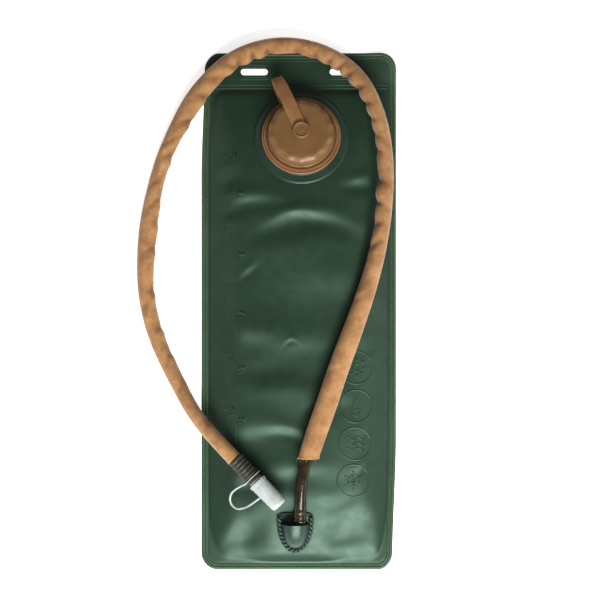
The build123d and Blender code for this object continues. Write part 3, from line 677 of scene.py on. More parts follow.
def film_shell(name, top, bottom, holes, node):
    """A closed film between two height functions, over the whole outline, less its holes."""
    x, y = outline_grid()
    rows, columns = x.shape
    sides = [np.stack([pulled_in(x, y), y, side(x, y)], axis=-1).reshape(-1, 3) for side in (top, bottom)]
    count = rows * columns
    faces = grid_faces(rows, columns)
    under = [tuple(reversed(face)) for face in grid_faces(rows, columns, count)]
    ring = list(range(columns))
    ring += [row * columns + columns - 1 for row in range(1, rows)]
    ring += [(rows - 1) * columns + column for column in range(columns - 2, -1, -1)]
    ring += [row * columns for row in range(rows - 2, 0, -1)]
    walls = [(here, here + count, there + count, there) for here, there in zip(ring, ring[1:] + ring[:1])]
    inset = edge_distance(x, y)
    middle = (inset[:-1, :-1] + inset[1:, 1:]).reshape(-1) / 2
    rim = (middle < WELD_WIDTH).astype(int)
    which = np.concatenate([rim, rim, np.ones(len(walls), int)])
    materials = [FILM_GREEN, WELD_GREEN]
    film = add_piece(name, np.concatenate(sides), faces + under + walls, materials, which)
    cut_holes(film, holes)
    keep_as(film, "reservoir", "bag_film", node)
    return film


def cutter(name, outline, place, low, high):
    """A prism over an outline, for cutting a hole."""
    points = []
    for level in (low, high):
        points += [place @ Vector((x, y, level)) for x, y in outline]
    count = len(outline)
    faces = [tuple(range(count)), tuple(range(2 * count - 1, count - 1, -1))]
    faces += [(i, i + count, (i + 1) % count + count, (i + 1) % count) for i in range(count)]
    return add_piece(name, points, faces, [])


def circle(radius, segments=64, x=0.0, y=0.0):
    return [(x + radius * math.cos(turn), y + radius * math.sin(turn)) for turn in full_turn(segments)]


def stadium(length, width, x, y, segments=12):
    """A slot's outline."""
    points = []
    for sign, start in ((1, -math.pi / 2), (-1, math.pi / 2)):
        end_x = x + sign * (length - width) / 2
        for turn in np.linspace(start, start + math.pi, segments):
            points.append((end_x + width / 2 * math.cos(turn), y + width / 2 * math.sin(turn)))
    return points


SLOT_X = 37.0
SLOT_Y = 199.2
SLOT_LENGTH = 22.6
SLOT_WIDTH = 5.5
NECK_HOLE_R = 26.4
STEM_HOLE_R = 4.5
LEVEL = Matrix.Identity(4)


def cut_holes(piece, cutters):
    """Takes the cutters out of the piece's mesh and removes them."""
    for tool in cutters:
        cut = piece.modifiers.new(tool.name, "BOOLEAN")
        cut.operation = "DIFFERENCE"
        cut.solver = "EXACT"
        cut.object = tool
    graph = bpy.context.evaluated_depsgraph_get()
    finished = bpy.data.meshes.new_from_object(piece.evaluated_get(graph))
    piece.modifiers.clear()
    piece.data = finished
    for tool in cutters:
        bpy.data.objects.remove(tool)
    crease_by_angle(piece, 60)


def slot_cutters():
    return [
        cutter(f"slot{sign}", stadium(SLOT_LENGTH, SLOT_WIDTH, sign * SLOT_X, SLOT_Y), LEVEL, -3, 9)
        for sign in (-1, 1)
    ]


def make_films():
    """The front film over the water and the flat back film, welded along their border."""
    neck_hole = cutter("neck_hole", circle(NECK_HOLE_R), NECK, -12, 12)
    stem_hole = cutter("stem_hole", circle(STEM_HOLE_R, 32, 4.0, -3.5), PORT, -8, 8)
    front = film_shell(
        "front_film_panel",
        film_height,
        lambda x, y: np.maximum(film_height(x, y) - FILM, FILM + header_lift(x, y)),
        slot_cutters() + [neck_hole, stem_hole],
        "front_film",
    )
    back = film_shell(
        "back_film_panel",
        lambda x, y: FILM + header_lift(x, y),
        lambda x, y: 0.25 * (1 - ease(edge_distance(x, y), 0.0, 0.9)) + header_lift(x, y),
        slot_cutters(),
        "back_film",
    )


# ---- raised lines

# across a welt in shares of its width, and up it in shares of its height
WELT_ACROSS = np.array([-0.5, -0.36, 0.0, 0.36, 0.5])
WELT_RISE = np.array([0.0, 0.72, 1.0, 0.72, 0.0])
WELT_SINK = 0.25
WELT_CLEAR = 0.02
WELT_END_SHARE = 0.35


def raised_lines(name, lines, width, height):
    """Half-round welts on the film. Each line is a list of x, y and a closed flag."""
    points, faces = [], []
    count = len(WELT_ACROSS)
    for line, closed in lines:
        line = np.array(line, float)
        if closed:
            ahead = np.roll(line, -1, axis=0) - np.roll(line, 1, axis=0)
        else:
            ahead = np.gradient(line, axis=0)
        ahead /= np.maximum(np.linalg.norm(ahead, axis=1, keepdims=True), 1e-9)
        side = np.stack([-ahead[:, 1], ahead[:, 0]], axis=1)
        flat = line[:, None, :] + width * WELT_ACROSS[None, :, None] * side[:, None, :]
        ground = film_height(flat[..., 0], flat[..., 1])
        taper = np.ones(len(line))
        if not closed:
            taper[[0, -1]] = WELT_END_SHARE
        top = ground + height * WELT_RISE[None, :] * taper[:, None] + WELT_CLEAR
        if closed:
            faces += grid_faces(len(line), count + 2, len(points), True, True)
        else:
            faces += capped_faces(len(line), count + 2, len(points))
        foot = np.minimum(ground[:, 0], ground[:, -1]) - WELT_SINK
        for row in range(len(line)):
            spots = [(pulled_in(x, y), y) for x, y in flat[row]]
            points += [(*spots[column], top[row, column]) for column in range(count)]
            points += [(*spots[-1], foot[row]), (*spots[0], foot[row])]
    return add_piece(name, points, faces, [FILM_GREEN])


def stretch(start, end, step=3.0):
    """Points from start to end, close enough to follow the film."""
    start, end = np.array(start, float), np.array(end, float)
    count = max(2, int(np.linalg.norm(end - start) / step) + 1)
    return [tuple(start + (end - start) * share) for share in np.linspace(0, 1, count)]


def edge_line(inset):
    """The bag's outline moved in by inset, starting at the right."""
    points = []
    radius = max(CORNER_R - inset, 1.0)
    reach_x, reach_y = HALF_WIDTH - inset - radius, HALF_LENGTH - inset - radius
    for sign_x, sign_y, start in ((1, 1, 0), (-1, 1, 90), (-1, -1, 180), (1, -1, 270)):
        x, y = sign_x * reach_x, sign_y * reach_y
        for turn in np.radians(np.linspace(start, start + 90, 13)):
            points.append((x + radius * math.cos(turn), y + radius * math.sin(turn)))
    return points


def followed(outline, step):
    """The same closed outline with points about step apart."""
    return evenly(np.array(outline + outline[:1]), step)[0][:-1]


def dashes(outline, pitch, share):
    """Short lines round a closed outline."""
    line = np.array(outline + outline[:1])
    total = lengths_along(line)[-1]
    count = int(total / pitch)
    starts = [total * number / count for number in range(count)]
    return [(points_at(line, np.linspace(start, start + pitch * share, 4)), False) for start in starts]


# strokes of the scale's numerals, in a box one wide and one and a half high
NUMERALS = {
    "0": [((0, 0), (1, 0), (1, 1.5), (0, 1.5), (0, 0))],
    "1": [((0.2, 1.15), (0.5, 1.5), (0.5, 0))],
    "2": [((0, 1.5), (1, 1.5), (1, 0.8), (0, 0.7), (0, 0), (1, 0))],
    "4": [((0, 1.5), (0, 0.7), (1, 0.7)), ((1, 1.5), (1, 0))],
    "5": [((1, 1.5), (0, 1.5), (0, 0.8), (1, 0.7), (1, 0), (0, 0))],
    "6": [((1, 1.5), (0, 1.5), (0, 0), (1, 0), (1, 0.75), (0, 0.75))],
    "8": [((0, 0), (1, 0), (1, 1.5), (0, 1.5), (0, 0)), ((0, 0.75), (1, 0.75))],
    ".": [((0.35, 0), (0.65, 0.05))],
}


def numerals(text, x, y, size):
    """The lines of a number whose lower left corner is at x, y."""
    lines = []
    for place, sign in enumerate(text):
        for stroke in NUMERALS[sign]:
            corners = [(x + size * (across + 1.5 * place), y + size * up) for across, up in stroke]
            points = []
            for start, end in zip(corners, corners[1:]):
                points += stretch(start, end, 1.0)
            lines.append((points, False))
    return lines


SCALE_X = -52.0
NUMERAL_SIZE = 1.9
SCALE_LEFT = [(125.6, "2.5"), (63.7, "2"), (17.2, "1.5"), (-38.8, "1"), (-84.4, "0.5")]
SCALE_RIGHT = [(93.9, "80"), (43.7, "60"), (-4.5, "40"), (-50.2, "20"), (-92.0, "10")]


def make_scale():
    """The moulded level scale: one upright with a tick and a number at each level."""
    lines = [(stretch((SCALE_X, 132.0), (SCALE_X, -109.0)), False)]
    for levels, tick, indent in ((SCALE_LEFT, -6.0, -9.0), (SCALE_RIGHT, 6.0, 2.4)):
        for level, text in levels:
            lines.append((stretch((SCALE_X, level), (SCALE_X + tick, level), 1.5), False))
            lines += numerals(text, SCALE_X + indent, level + 2.2, NUMERAL_SIZE)
    return raised_lines("level_scale", lines, 1.0, 0.33)


def ray_lines(x, y, inner, outer, count, turn=0.0):
    """Straight lines that point away from x, y."""
    lines = []
    for number in range(count):
        angle = 2 * math.pi * number / count + turn
        c, s = math.cos(angle), math.sin(angle)
        lines.append((stretch((x + inner * c, y + inner * s), (x + outer * c, y + outer * s), 1.2), False))
    return lines


def wave_line(x, y, half, rise, waves):
    """A level wavy line with its middle at x, y."""
    along = np.linspace(-half, half, 24)
    return [(x + step, y + rise * math.sin(waves * math.pi * step / half)) for step in along]


def drop_outline(x, y, size):
    """The outline of a drop, its point upwards."""
    outline = []
    for turn in full_turn(40):
        half = size * 0.62 * math.sin(turn) * math.sin(turn / 2) ** 1.5
        outline.append((x + half, y + size * math.cos(turn)))
    return outline


EMBLEMS = [(47.6, -46.2), (47.1, -77.9), (46.2, -108.9), (45.1, -139.4)]
EMBLEM_R = 13.4


def make_emblems():
    """Four moulded roundels with plain signs: sun, drop, waves and snow crystal."""
    rings = [(circle(EMBLEM_R, 56, x, y), True) for x, y in EMBLEMS]
    x, y = EMBLEMS[0]
    signs = [(circle(3.2, 24, x, y), True)]
    signs += ray_lines(x, y, 5.0, 8.6, 8)
    x, y = EMBLEMS[1]
    signs.append((drop_outline(x, y, 8.0), True))
    signs.append((wave_line(x, y - 3.0, 2.6, 0.7, 1), False))
    x, y = EMBLEMS[2]
    signs += [(wave_line(x, y + lift, 8.0, 1.3, 2), False) for lift in (-4.5, 0.0, 4.5)]
    x, y = EMBLEMS[3]
    signs += ray_lines(x, y, 0.8, 8.4, 6, math.pi / 6)
    signs.append((circle(4.6, 30, x, y), True))
    return [
        raised_lines("emblem_rings", rings, 1.6, 0.26),
        raised_lines("emblem_signs", signs, 1.2, 0.26),
    ]


HEADER_SEAMS = (188.5, 185.6, 208.4)


def make_welts():
    """Every raised line on the front film."""
    slots = []
    for sign in (-1, 1):
        for grow in (3.4, 6.6):
            outline = stadium(SLOT_LENGTH + grow, SLOT_WIDTH + grow, sign * SLOT_X, SLOT_Y)
            slots.append((outline, True))
    pieces = [make_scale(), *make_emblems()]
    seams = [(stretch((-72.4, y), (74.6, y), 2.0), False) for y in HEADER_SEAMS]
    pieces.append(raised_lines("header_seams", seams, 0.9, 0.30))
    pieces.append(raised_lines("slot_welts", slots, 0.9, 0.34))
    stitches = raised_lines("weld_ribs", dashes(edge_line(4.15), 2.3, 0.60), 1.2, 0.30)
    bead = raised_lines("weld_bead", [(followed(edge_line(1.7), 3.0), True)], 1.5, 0.34)
    for piece in (stitches, bead):
        piece.data.materials[0] = WELD_LIGHT
    pieces += [stitches, bead]
    for piece in pieces:
        keep_as(piece, "reservoir", "bag_film")


# ---- cap tether

STRAP_TURN = math.radians(113.0)
# r and h over the film along the strap, from the ring out to the fold and back to the button
STRAP_PATH = [
    (30.2, 4.8), (39.5, 4.6), (47.5, 4.7), (51.8, 7.6), (51.6, 12.4), (46.0, 16.4), (36.0, 19.0),
    (27.0, 21.0), (16.0, 21.1), (5.8, 21.05),
]
STRAP_HALF_WIDTH = 5.5
STRAP_HALF_THICK = 0.85
STRAP_FOLD_R = 51.8
STRAP_WAIST = 0.17


def rounded_box(r_low, r_high, h_low, h_high, radius, steps=4):
    """The outline of a rounded rectangle in r and h."""
    outline = []
    inner_r, outer_r = r_low + radius, r_high - radius
    low, high = h_low + radius, h_high - radius
    for r, h, start in ((outer_r, high, 0), (inner_r, high, 90), (inner_r, low, 180), (outer_r, low, 270)):
        for turn in np.radians(np.linspace(start, start + 90, steps)):
            outline.append((r + radius * math.cos(turn), h + radius * math.sin(turn)))
    return outline


TETHER_RING = [
    (29.3, 3.65), (32.2, 3.65), (32.5, 4.0), (32.5, 5.2), (32.3, 5.75), (31.8, 6.0), (31.3, 5.8),
    (31.05, 5.4), (30.8, 5.2), (30.55, 5.4), (30.3, 5.9), (29.9, 6.15), (29.5, 6.0), (29.3, 5.6),
]
TETHER_EYE = rounded_box(3.4, 6.7, 20.3, 21.8, 0.4)
RING_TOP, EYE_FOOT = 6.5, 20.0


def band_points(middle, side, normal, half_width, half_thick, count=20):
    """A rounded-rectangle ring across a strap."""
    ring = []
    for turn in full_turn(count):
        c, s = math.cos(turn), math.sin(turn)
        wide = half_width * math.copysign(abs(c) ** 0.40, c)
        thick = half_thick * math.copysign(abs(s) ** 0.62, s)
        ring.append(middle + side * wide + normal * thick)
    return ring


CAP_SCALLOPS = 14
SCALLOP_DEEP = 1.15
SCALLOP_REACH = 0.15
# r, h over the film and how fully the scallops cut there
CAP_PROFILE = [
    (0, 20, 0), (8, 20, 0), (16, 20, 0), (20.4, 20, 0.5), (22.4, 19.98, 0.9), (23.1, 19.88, 1),
    (23.8, 19.6, 1), (24.7, 19.1, 1), (25.6, 18.5, 0.9), (26.4, 17.7, 0.8), (27.0, 16.6, 0.6),
    (27.3, 15.2, 0.5), (27.4, 13.0, 0.5), (27.5, 10.5, 0.4), (27.6, 9.6, 0.2), (27.9, 9.3, 0), (27.9, 8.5, 0),
    (27.6, 8.05, 0), (26.4, 8, 0), (25.2, 8.05, 0), (25, 8.5, 0), (25, 14.6, 0),
    (23.6, 17.4, 0), (14, 17.4, 0), (0, 17.4, 0),
]
BUTTON_PROFILE = [
    (0, 23.55), (0.8, 23.55), (1.3, 23.75), (1.8, 23.5), (3.0, 23.42), (3.5, 23.66), (4.0, 23.42),
    (5.0, 23.46), (5.4, 23.92), (6.1, 24.0), (6.6, 23.82), (6.88, 23.3), (6.9, 22.4), (6.6, 22.0),
    (3.4, 21.95), (3.0, 21.4), (3.0, 15.9), (0, 15.9),
]


THREAD_R, THREAD_RIDGE_R = 24.6, 0.8
THREAD_FOOT, THREAD_LEAD = 9.8, 8.0
THREAD_STEPS = 60


def add_thread(points, faces, start):
    """A start of the cap's inner thread: a ridge that fades at both ends."""
    ridge = np.array([
        NECK @ Vector((
            THREAD_R * math.cos(turn),
            THREAD_R * math.sin(turn),
            THREAD_FOOT + THREAD_LEAD / 2 * (turn - start) / math.pi,
        ))
        for turn in np.linspace(start, start + 1.2 * math.pi, THREAD_STEPS)
    ])
    from_end = np.minimum(np.arange(THREAD_STEPS), np.arange(THREAD_STEPS)[::-1])
    sizes = THREAD_RIDGE_R * np.minimum(1.0, from_end / 4 + 0.1)
    faces += capped_faces(THREAD_STEPS, 10, len(points))
    points += [Vector(point) for point in round_tube(ridge, sizes, 10).reshape(-1, 3)]


def make_cap():
    """The screw cap with its scalloped shoulder and inner thread, and the button."""

    def scalloped(step, r, turn):
        apart = (turn * CAP_SCALLOPS / (2 * math.pi) + 0.5) % 1.0 - 0.5
        apart *= 2 * math.pi / CAP_SCALLOPS
        return r - CAP_PROFILE[step][2] * SCALLOP_DEEP * bell(apart, SCALLOP_REACH)

    outline = [(r, h) for r, h, _ in CAP_PROFILE]
    points, faces = lathe(outline, NECK, CAP_SCALLOPS * 16, scalloped)
    for start in (0.0, math.pi):
        add_thread(points, faces, start)
    cap = add_piece("cap_shell", points, faces, [CAP_TAN], merge=True)
    keep_as(cap, "cap", "cap_tan", "screw_cap")
    crease_by_angle(cap, 50)
    keep = ("cap", "cap_tan", "cap_button")
    turned_piece("cap_rivet_button", BUTTON_PROFILE, NECK, 64, CAP_TAN, 50, keep)


# r and h over the film, round the filling port's flange
FLANGE_WELD = [
    (37.3, 1.60), (37.7, 1.42), (38.1, 0.95), (38.6, 0.35), (39.1, -0.05), (39.6, -0.45), (39.6, -0.7),
    (37.3, -0.7),
]


def make_flange_weld():
    """The film drawn up round the filling port's flange."""
    points, faces = lathe(FLANGE_WELD, NECK, 128, closed=True)
    weld = add_piece("flange_weld", points, faces, [FILM_GREEN])
    keep_as(weld, "reservoir", "bag_film")


def make_cap_tether():
    """The ring round the neck, its strap over the cap's edge, and the eye under the button."""
    points = []
    path = centre_line([(r * MM, h * MM, 0.0) for r, h in STRAP_PATH]) / MM
    path = evenly(path, 1.0)[0][:, :2]
    way = np.gradient(path, axis=0)
    way /= np.linalg.norm(way, axis=1, keepdims=True)
    out = Vector((math.cos(STRAP_TURN), math.sin(STRAP_TURN), 0.0))
    side = Vector((-out.y, out.x, 0.0))
    for (r, h), (dr, dh) in zip(path, way):
        middle = out * r + Vector((0, 0, h))
        normal = out * -dh + Vector((0, 0, dr))
        waist = 1 - STRAP_WAIST * bell(r - STRAP_FOLD_R, 8.0)
        ring = band_points(middle, side, normal, STRAP_HALF_WIDTH * waist, STRAP_HALF_THICK)
        points += [NECK @ point for point in ring]
    faces = capped_faces(len(path), 20, 0)
    for profile in (TETHER_RING, TETHER_EYE):
        more_points, more_faces = lathe(profile, NECK, 96, None, True, len(points))
        points += more_points
        faces += more_faces
    tether = add_piece("cap_tether_strap", points, faces, [TETHER_TAN])
    blend_between(tether, NECK, RING_TOP, EYE_FOOT, "tether", "tether_tan", "cap_tether")


# ---- hose

def scallops(along, spots, reach):
    """Rounded bumps at the spots."""
    height = np.zeros_like(along)
    for spot, size in spots:
        height += size * bell(along - spot, reach)
    return height


def make_hose(line):
    """The drinking tube: an open tube with a wall, swollen over the barbs at both ends."""
    points, along = evenly(line, 1.0)
    total = along[-1]
    swell = scallops(along, [(3.5, 0.75), (7.5, 0.70), (11.5, 0.60)], 1.1)
    swell += scallops(total - along, [(2.5, 0.30), (6.0, 0.30)], 1.3)
    segments = 28
    outer = round_tube(points, TUBE_R + swell, segments)
    inner = round_tube(points, TUBE_BORE_R + swell * 0.8, segments)
    hose = add_piece("drinking_hose", *pipe(outer, inner), [HOSE_AMBER])
    keep_as(hose, "reservoir", "hose_amber", "drinking_tube")
    return hose


# along the sleeve: half its width, half its height and how far it leans to the outer side
SLEEVE_SHAPE = [
    (0, 8.1, 6.0, 1.1), (30, 8.7, 5.8, 1.0), (95, 8.4, 6.0, 0.8), (150, 7.3, 6.3, 0.5),
    (195, 6.5, 6.6, 0.2), (250, 5.9, 6.9, 0.5), (310, 5.9, 7.0, 0.5), (345, 6.5, 6.8, 0.0),
    (400, 6.0, 6.6, 0.7), (465, 7.6, 6.0, -0.2), (492, 8.2, 5.8, 0.2), (530, 6.5, 6.4, 0.7),
    (565, 6.3, 6.4, 0.5), (605, 7.9, 5.9, -0.3), (650, 6.7, 6.3, 0.2), (725, 6.4, 6.3, 0.6),
    (765, 5.9, 6.2, 0.3), (808, 6.2, 6.1, 0.5),
]
# single creases: along the sleeve, depth, slant and which way round it is deepest
CREASES = [
    (78, 0.30, 7, 1.9), (139, 0.40, 5, 2.3), (186, 0.9, 5, 2.4), (203, 1.0, 3, 2.6), (449, 1.1, 4, 2.6),
    (466, 0.8, 6, 2.0), (484, 1.3, 3, 2.7), (509, 1.4, 4, 2.8), (527, 0.7, 9, 1.5), (541, 1.2, 2, 2.8),
    (563, 0.7, 9, 1.0), (583, 1.1, 7, 2.5), (597, 0.9, 1, 2.9), (622, 1.3, 5, 2.6), (655, 1.0, 2, 2.8),
    (664, 0.8, 9, 1.5), (689, 1.2, 3, 2.8), (716, 0.9, 6, 2.3), (741, 0.7, 8, 2.0), (782, 0.6, 6, 2.4),
]
GATHER_PITCH = 15.0
SLEEVE_START = 56.0
SLEEVE_END_GAP = 8.0
SLEEVE_THICK = 0.42
HOSE_GAP = 0.55


def sleeve_section(along):
    """Half width, half height and outward lean of the sleeve along its length."""
    table = np.array(SLEEVE_SHAPE, float)
    fine = np.arange(0.0, 820.0, 2.0)
    columns = [smoothed(np.interp(fine, table[:, 0], table[:, part]), 7.0, 2.0) for part in (1, 2, 3)]
    return [np.interp(along, fine, column) for column in columns]


def gathers(run):
    """From 0 in the sharp valleys to 1 on the round folds of the pushed-up fabric."""
    wander = 6.5 * np.sin(run / 26.0) + 3.2 * np.sin(run / 11.9 + 2.0) + 0.9 * np.sin(run / 6.1 + 0.5)
    return np.abs(np.sin(np.pi * (run + wander) / GATHER_PITCH)) ** 0.7


def creases_at(along, turn):
    """The single creases: narrow valleys with a low fold beside them."""
    height = np.zeros(np.broadcast(along, turn).shape)
    for spot, depth, slant, middle in CREASES:
        apart = along - spot - slant * np.cos(turn)
        around = np.cos(np.clip(turn - middle, -np.pi / 2, np.pi / 2))
        valley = 0.85 * bell(apart - 6.5, 4.0) - np.exp(-np.abs(apart / 3.0) ** 1.7)
        height += depth * around * valley
    return height


def make_sleeve(line):
    """The fabric sleeve: woven flat, so it has an edge along each side of the tube, smooth
    near the outlet, gathered round the upper bend and creased on its way down."""
    end = lengths_along(line)[-1] - SLEEVE_END_GAP
    points, along = evenly(line, 1.15, SLEEVE_START, end)
    along = (along - SLEEVE_START)[:, None]
    way, side, rise = sides_of(points)
    turn = full_turn(60)[None, :]
    c, s = np.cos(turn), np.sin(turn)
    wide, high, lean = sleeve_section(along)
    pressed = ease(along, 10.0, 50.0) * (1 - ease(along, 150.0, 215.0))
    pressed = pressed + 0.5 * ease(along, 690.0, 740.0)
    across = wide * c + lean
    up = high * np.sign(s) * np.abs(s) ** (1.10 + 0.45 * pressed)

    amount = ease(along, 196.0, 232.0) * (1 - ease(along, 425.0, 470.0))
    amount = amount * (0.72 + 0.28 * np.sin(along / 17.0 + 1.0))
    fold = gathers(along + 3.0 * s * np.sin(along / 37.0 + 0.6) + 2.2 * c)
    reach = 0.45 + 0.40 * np.sin(along / 19.0 + 2.0)
    inner_side = np.clip(reach - c, 0, 1 + reach) / (1 + reach)
    across = across - amount * (3.3 * fold - 0.9) * np.clip(-c + 0.25, 0, 1) ** 1.2
    up = up + amount * (2.2 * fold - 0.9) * np.clip(s, 0, 1) * inner_side
    crease = creases_at(along, turn) * (0.35 + 0.65 * np.clip(s + 0.3, 0, 1))
    soft = 0.30 * np.sin(along / 4.9 + 2.0 * np.sin(along / 15.0) + 1.3 * s) * np.sin(2 * turn + 0.6)
    soft = soft * ease(along, 150.0, 210.0) + 0.12 * np.sin(along / 3.1 + 2.2 * c) * s
    up = up + (crease + soft) * np.clip(s, 0, 1)
    across = across + crease * np.where(c < 0, 1.15, 0.45) * c

    clear = np.maximum(1.0, (TUBE_R + HOSE_GAP) / np.hypot(across, up))
    across, up = across * clear, up * clear
    flare = 0.55 * bell(along, 2.0) + 0.25 * bell(along[-1] - along, 2.0)
    grow = 1 + flare / np.hypot(across, up)
    across, up = across * grow, up * grow
    cut = 0.29 * across * (1 - ease(along, 0.0, 26.0)) * np.ones_like(up)
    middle = points[:, None, :] + cut[..., None] * way[:, None, :]

    def layer(shrink):
        outward = (across * shrink)[..., None] * side[:, None, :]
        return middle + outward + (up * shrink)[..., None] * rise[:, None, :]

    outer = layer(np.ones_like(up))
    inner = layer(1 - SLEEVE_THICK / np.hypot(across, up))
    # painted shade: darker in the valleys of the gathers and creases, on the inner side wall and on the inner
    # side of the pressed stretch
    inner_wall = ease(-c, 0.35, 0.95) * ease(along, 180.0, 230.0)
    sleeve_painted_shade = 1.5 * amount * (1 - fold) * inner_side + 0.45 * inner_wall * (0.35 + amount) * (1.1 - fold)
    sleeve_painted_shade = sleeve_painted_shade + np.clip(-0.85 * crease, 0, 0.8) + 0.40 * pressed * ease(-c, 0.55, 0.98)
    # painted highlight along the upper side of the pressed edges
    edge = pressed * bell(np.abs(c) - 1.0, 0.035) * (s > -0.2)
    around = turn * (SLEEVE_FLAT_WIDTH / MM) / math.pi / 2
    attributes = {}
    for key, values in (("along", along), ("around", around), ("sleeve_painted_shade", sleeve_painted_shade), ("edge", edge)):
        values = np.broadcast_to(values, outer.shape[:2])
        attributes[key] = np.concatenate([values.reshape(-1), values[::-1].reshape(-1)])
    sleeve = add_piece("hose_sleeve", *pipe(outer, inner), [SLEEVE_TAN], attributes=attributes)
    keep_as(sleeve, "reservoir", "sleeve_fabric", "tube_sleeve")
    return sleeve, outer[0]


def make_hem_threads(hem):
    """Loose thread ends at the sleeve's cut end."""
    points, faces = [], []
    for number in range(9):
        root = hem[(number * 13 + 4) % len(hem)]
        reach = 1.6 + 1.4 * math.sin(number * 2.3) ** 2
        swing = 0.9 * math.sin(number * 1.7 + 0.4)
        share = np.linspace(0, 1, 7)
        strand = np.stack([
            root[0] + swing * share**2,
            root[1] + 0.4 - reach * share,
            root[2] + 0.5 * np.sin(3 * share + number),
        ], axis=1)
        faces += capped_faces(7, 6, len(points))
        points += list(round_tube(strand, 0.13, 6, (1.0, 0.0, 0.2)).reshape(-1, 3))
    threads = add_piece("hem_threads", points, faces, [SLEEVE_TAN])
    keep_as(threads, "reservoir", "sleeve_fabric")
    return threads


# ---- dust cap's tether

# beside, above and along the hose's end
LOOP_PATH = [
    (7.5, 0, 12.8), (16.5, -1, 9.4), (24.5, -3.5, 10.4), (28.8, -5.5, 16), (28, -5.5, 22.5),
    (21, -3, 26.8), (12.5, -1, 28.2), (7.1, 0, 29),
]
LOOP_R = 0.85
LOOP_RING = rounded_box(4.9, 8.0, 12.4, 13.2, 0.3)
LOOP_ENDS = (13.5, 27.5)


def make_dust_tether():
    """The dust cap's loop: a ring round the grip's end and a strap back to the cap."""
    control = [tuple(VALVE @ Vector((side, -up, along)) * MM) for side, up, along in LOOP_PATH]
    line = evenly(centre_line(control) / MM, 0.7)[0]
    points = [Vector(point) for point in round_tube(line, LOOP_R, 12).reshape(-1, 3)]
    faces = capped_faces(len(line), 12, 0)
    ring_points, ring_faces = lathe(LOOP_RING, VALVE, 48, None, True, len(points))
    tether = add_piece("dust_cap_loop", points + ring_points, faces + ring_faces, [FROSTED])
    blend_between(tether, VALVE, *LOOP_ENDS, "dust_cap", "dust_cap_frosted", "dust_cap_tether")
    return tether


# ---- port trim and mouthpiece

PLATE_HALF_WIDTH = 15.3
PLATE_WAIST_Y = 10.0
PLATE_FOOT_LENGTH = 27.5


def shield_half_width(y, inset):
    """Half the width of the outlet's plate: straight above, drawn in to a blunt foot."""
    share = np.clip((PLATE_WAIST_Y - y) / (PLATE_FOOT_LENGTH - inset), 0.0, 1.0)
    return (PLATE_HALF_WIDTH - inset) * (1 - share**2.1) ** 0.55


def shield_outline(inset, top_y, corner):
    """The plate's right-hand side from its top to its foot, then its left-hand side."""
    foot = PLATE_WAIST_Y - PLATE_FOOT_LENGTH + inset
    down = foot + (top_y - corner - foot) * np.cos(np.linspace(0, math.pi / 2, 40))
    right = []
    x, y = PLATE_HALF_WIDTH - inset - corner, top_y - corner
    for turn in np.linspace(math.pi / 2, 0, 6)[:-1] if corner else []:
        right.append((x + corner * math.cos(turn), y + corner * math.sin(turn)))
    right += [(float(shield_half_width(y, inset)), float(y)) for y in down]
    return right + [(-x, y) for x, y in reversed(right[:-1])]


HOOD_FOOT = -12.7
HOOD_MOUTH = 8.3
HOOD_TOP = 15.1
HOOD_HALF_WIDTH = 11.2
HOOD_THICK = 1.5
HOOD_STATIONS, HOOD_STEPS = 26, 33


def hood_shell(thickness):
    """Rows of points over the outlet's hood, from its upright mouth to its closed foot."""
    rows = []
    for share in np.linspace(0, 1, HOOD_STATIONS) ** 0.8:
        share = math.sin(share * math.pi / 2)
        y = HOOD_MOUTH - (HOOD_MOUTH - HOOD_FOOT - thickness) * share
        half = (HOOD_HALF_WIDTH - thickness) * max(1 - share**2.4, 0.0) ** 0.5
        rise = (HOOD_TOP - thickness) * max(1 - share**2.6, 0.0) ** 0.55
        row = []
        for turn in np.linspace(0, math.pi, HOOD_STEPS):
            height = rise * math.sin(turn) ** 0.82
            lean = math.tan(PORT_TILT) * height * (1 - share)
            across = half * math.copysign(abs(math.cos(turn)) ** 0.85, math.cos(turn))
            row.append(PORT @ Vector((across, y + lean, height + 0.4)))
        rows.append(row)
    return rows


def make_port():
    """The outlet: a shield-shaped plate and a smooth hood over the elbow."""
    outline = shield_outline(0.0, 17.7, 6.0)
    inner = shield_outline(0.5, 17.2, 5.5)
    points = []
    for level, line in ((0.0, outline), (0.95, outline), (1.25, inner)):
        points += [PORT @ Vector((x, y, level)) for x, y in line]
    faces = capped_faces(3, len(outline), 0)
    stations, steps = HOOD_STATIONS, HOOD_STEPS
    for thickness in (0.0, HOOD_THICK):
        start = len(points)
        faces += grid_faces(stations, steps, start)
        for row in hood_shell(thickness):
            points += row
    outside = len(points) - 2 * stations * steps
    inside = len(points) - stations * steps
    seams = [(step, step + 1) for step in range(steps - 1)]
    for edge in (0, steps - 1):
        seams += [(row * steps + edge, (row + 1) * steps + edge) for row in range(stations - 1)]
    faces += [(outside + a, outside + b, inside + b, inside + a) for a, b in seams]
    shell = add_piece("outlet_hood_plate", points, faces, [PORT_GREEN])
    keep_as(shell, "reservoir", "port_green", "outlet_port")
    crease_by_angle(shell, 45)


ROPE_TWIST_R, ROPE_STRAND_R, ROPE_PITCH = 1.15, 1.20, 7.4


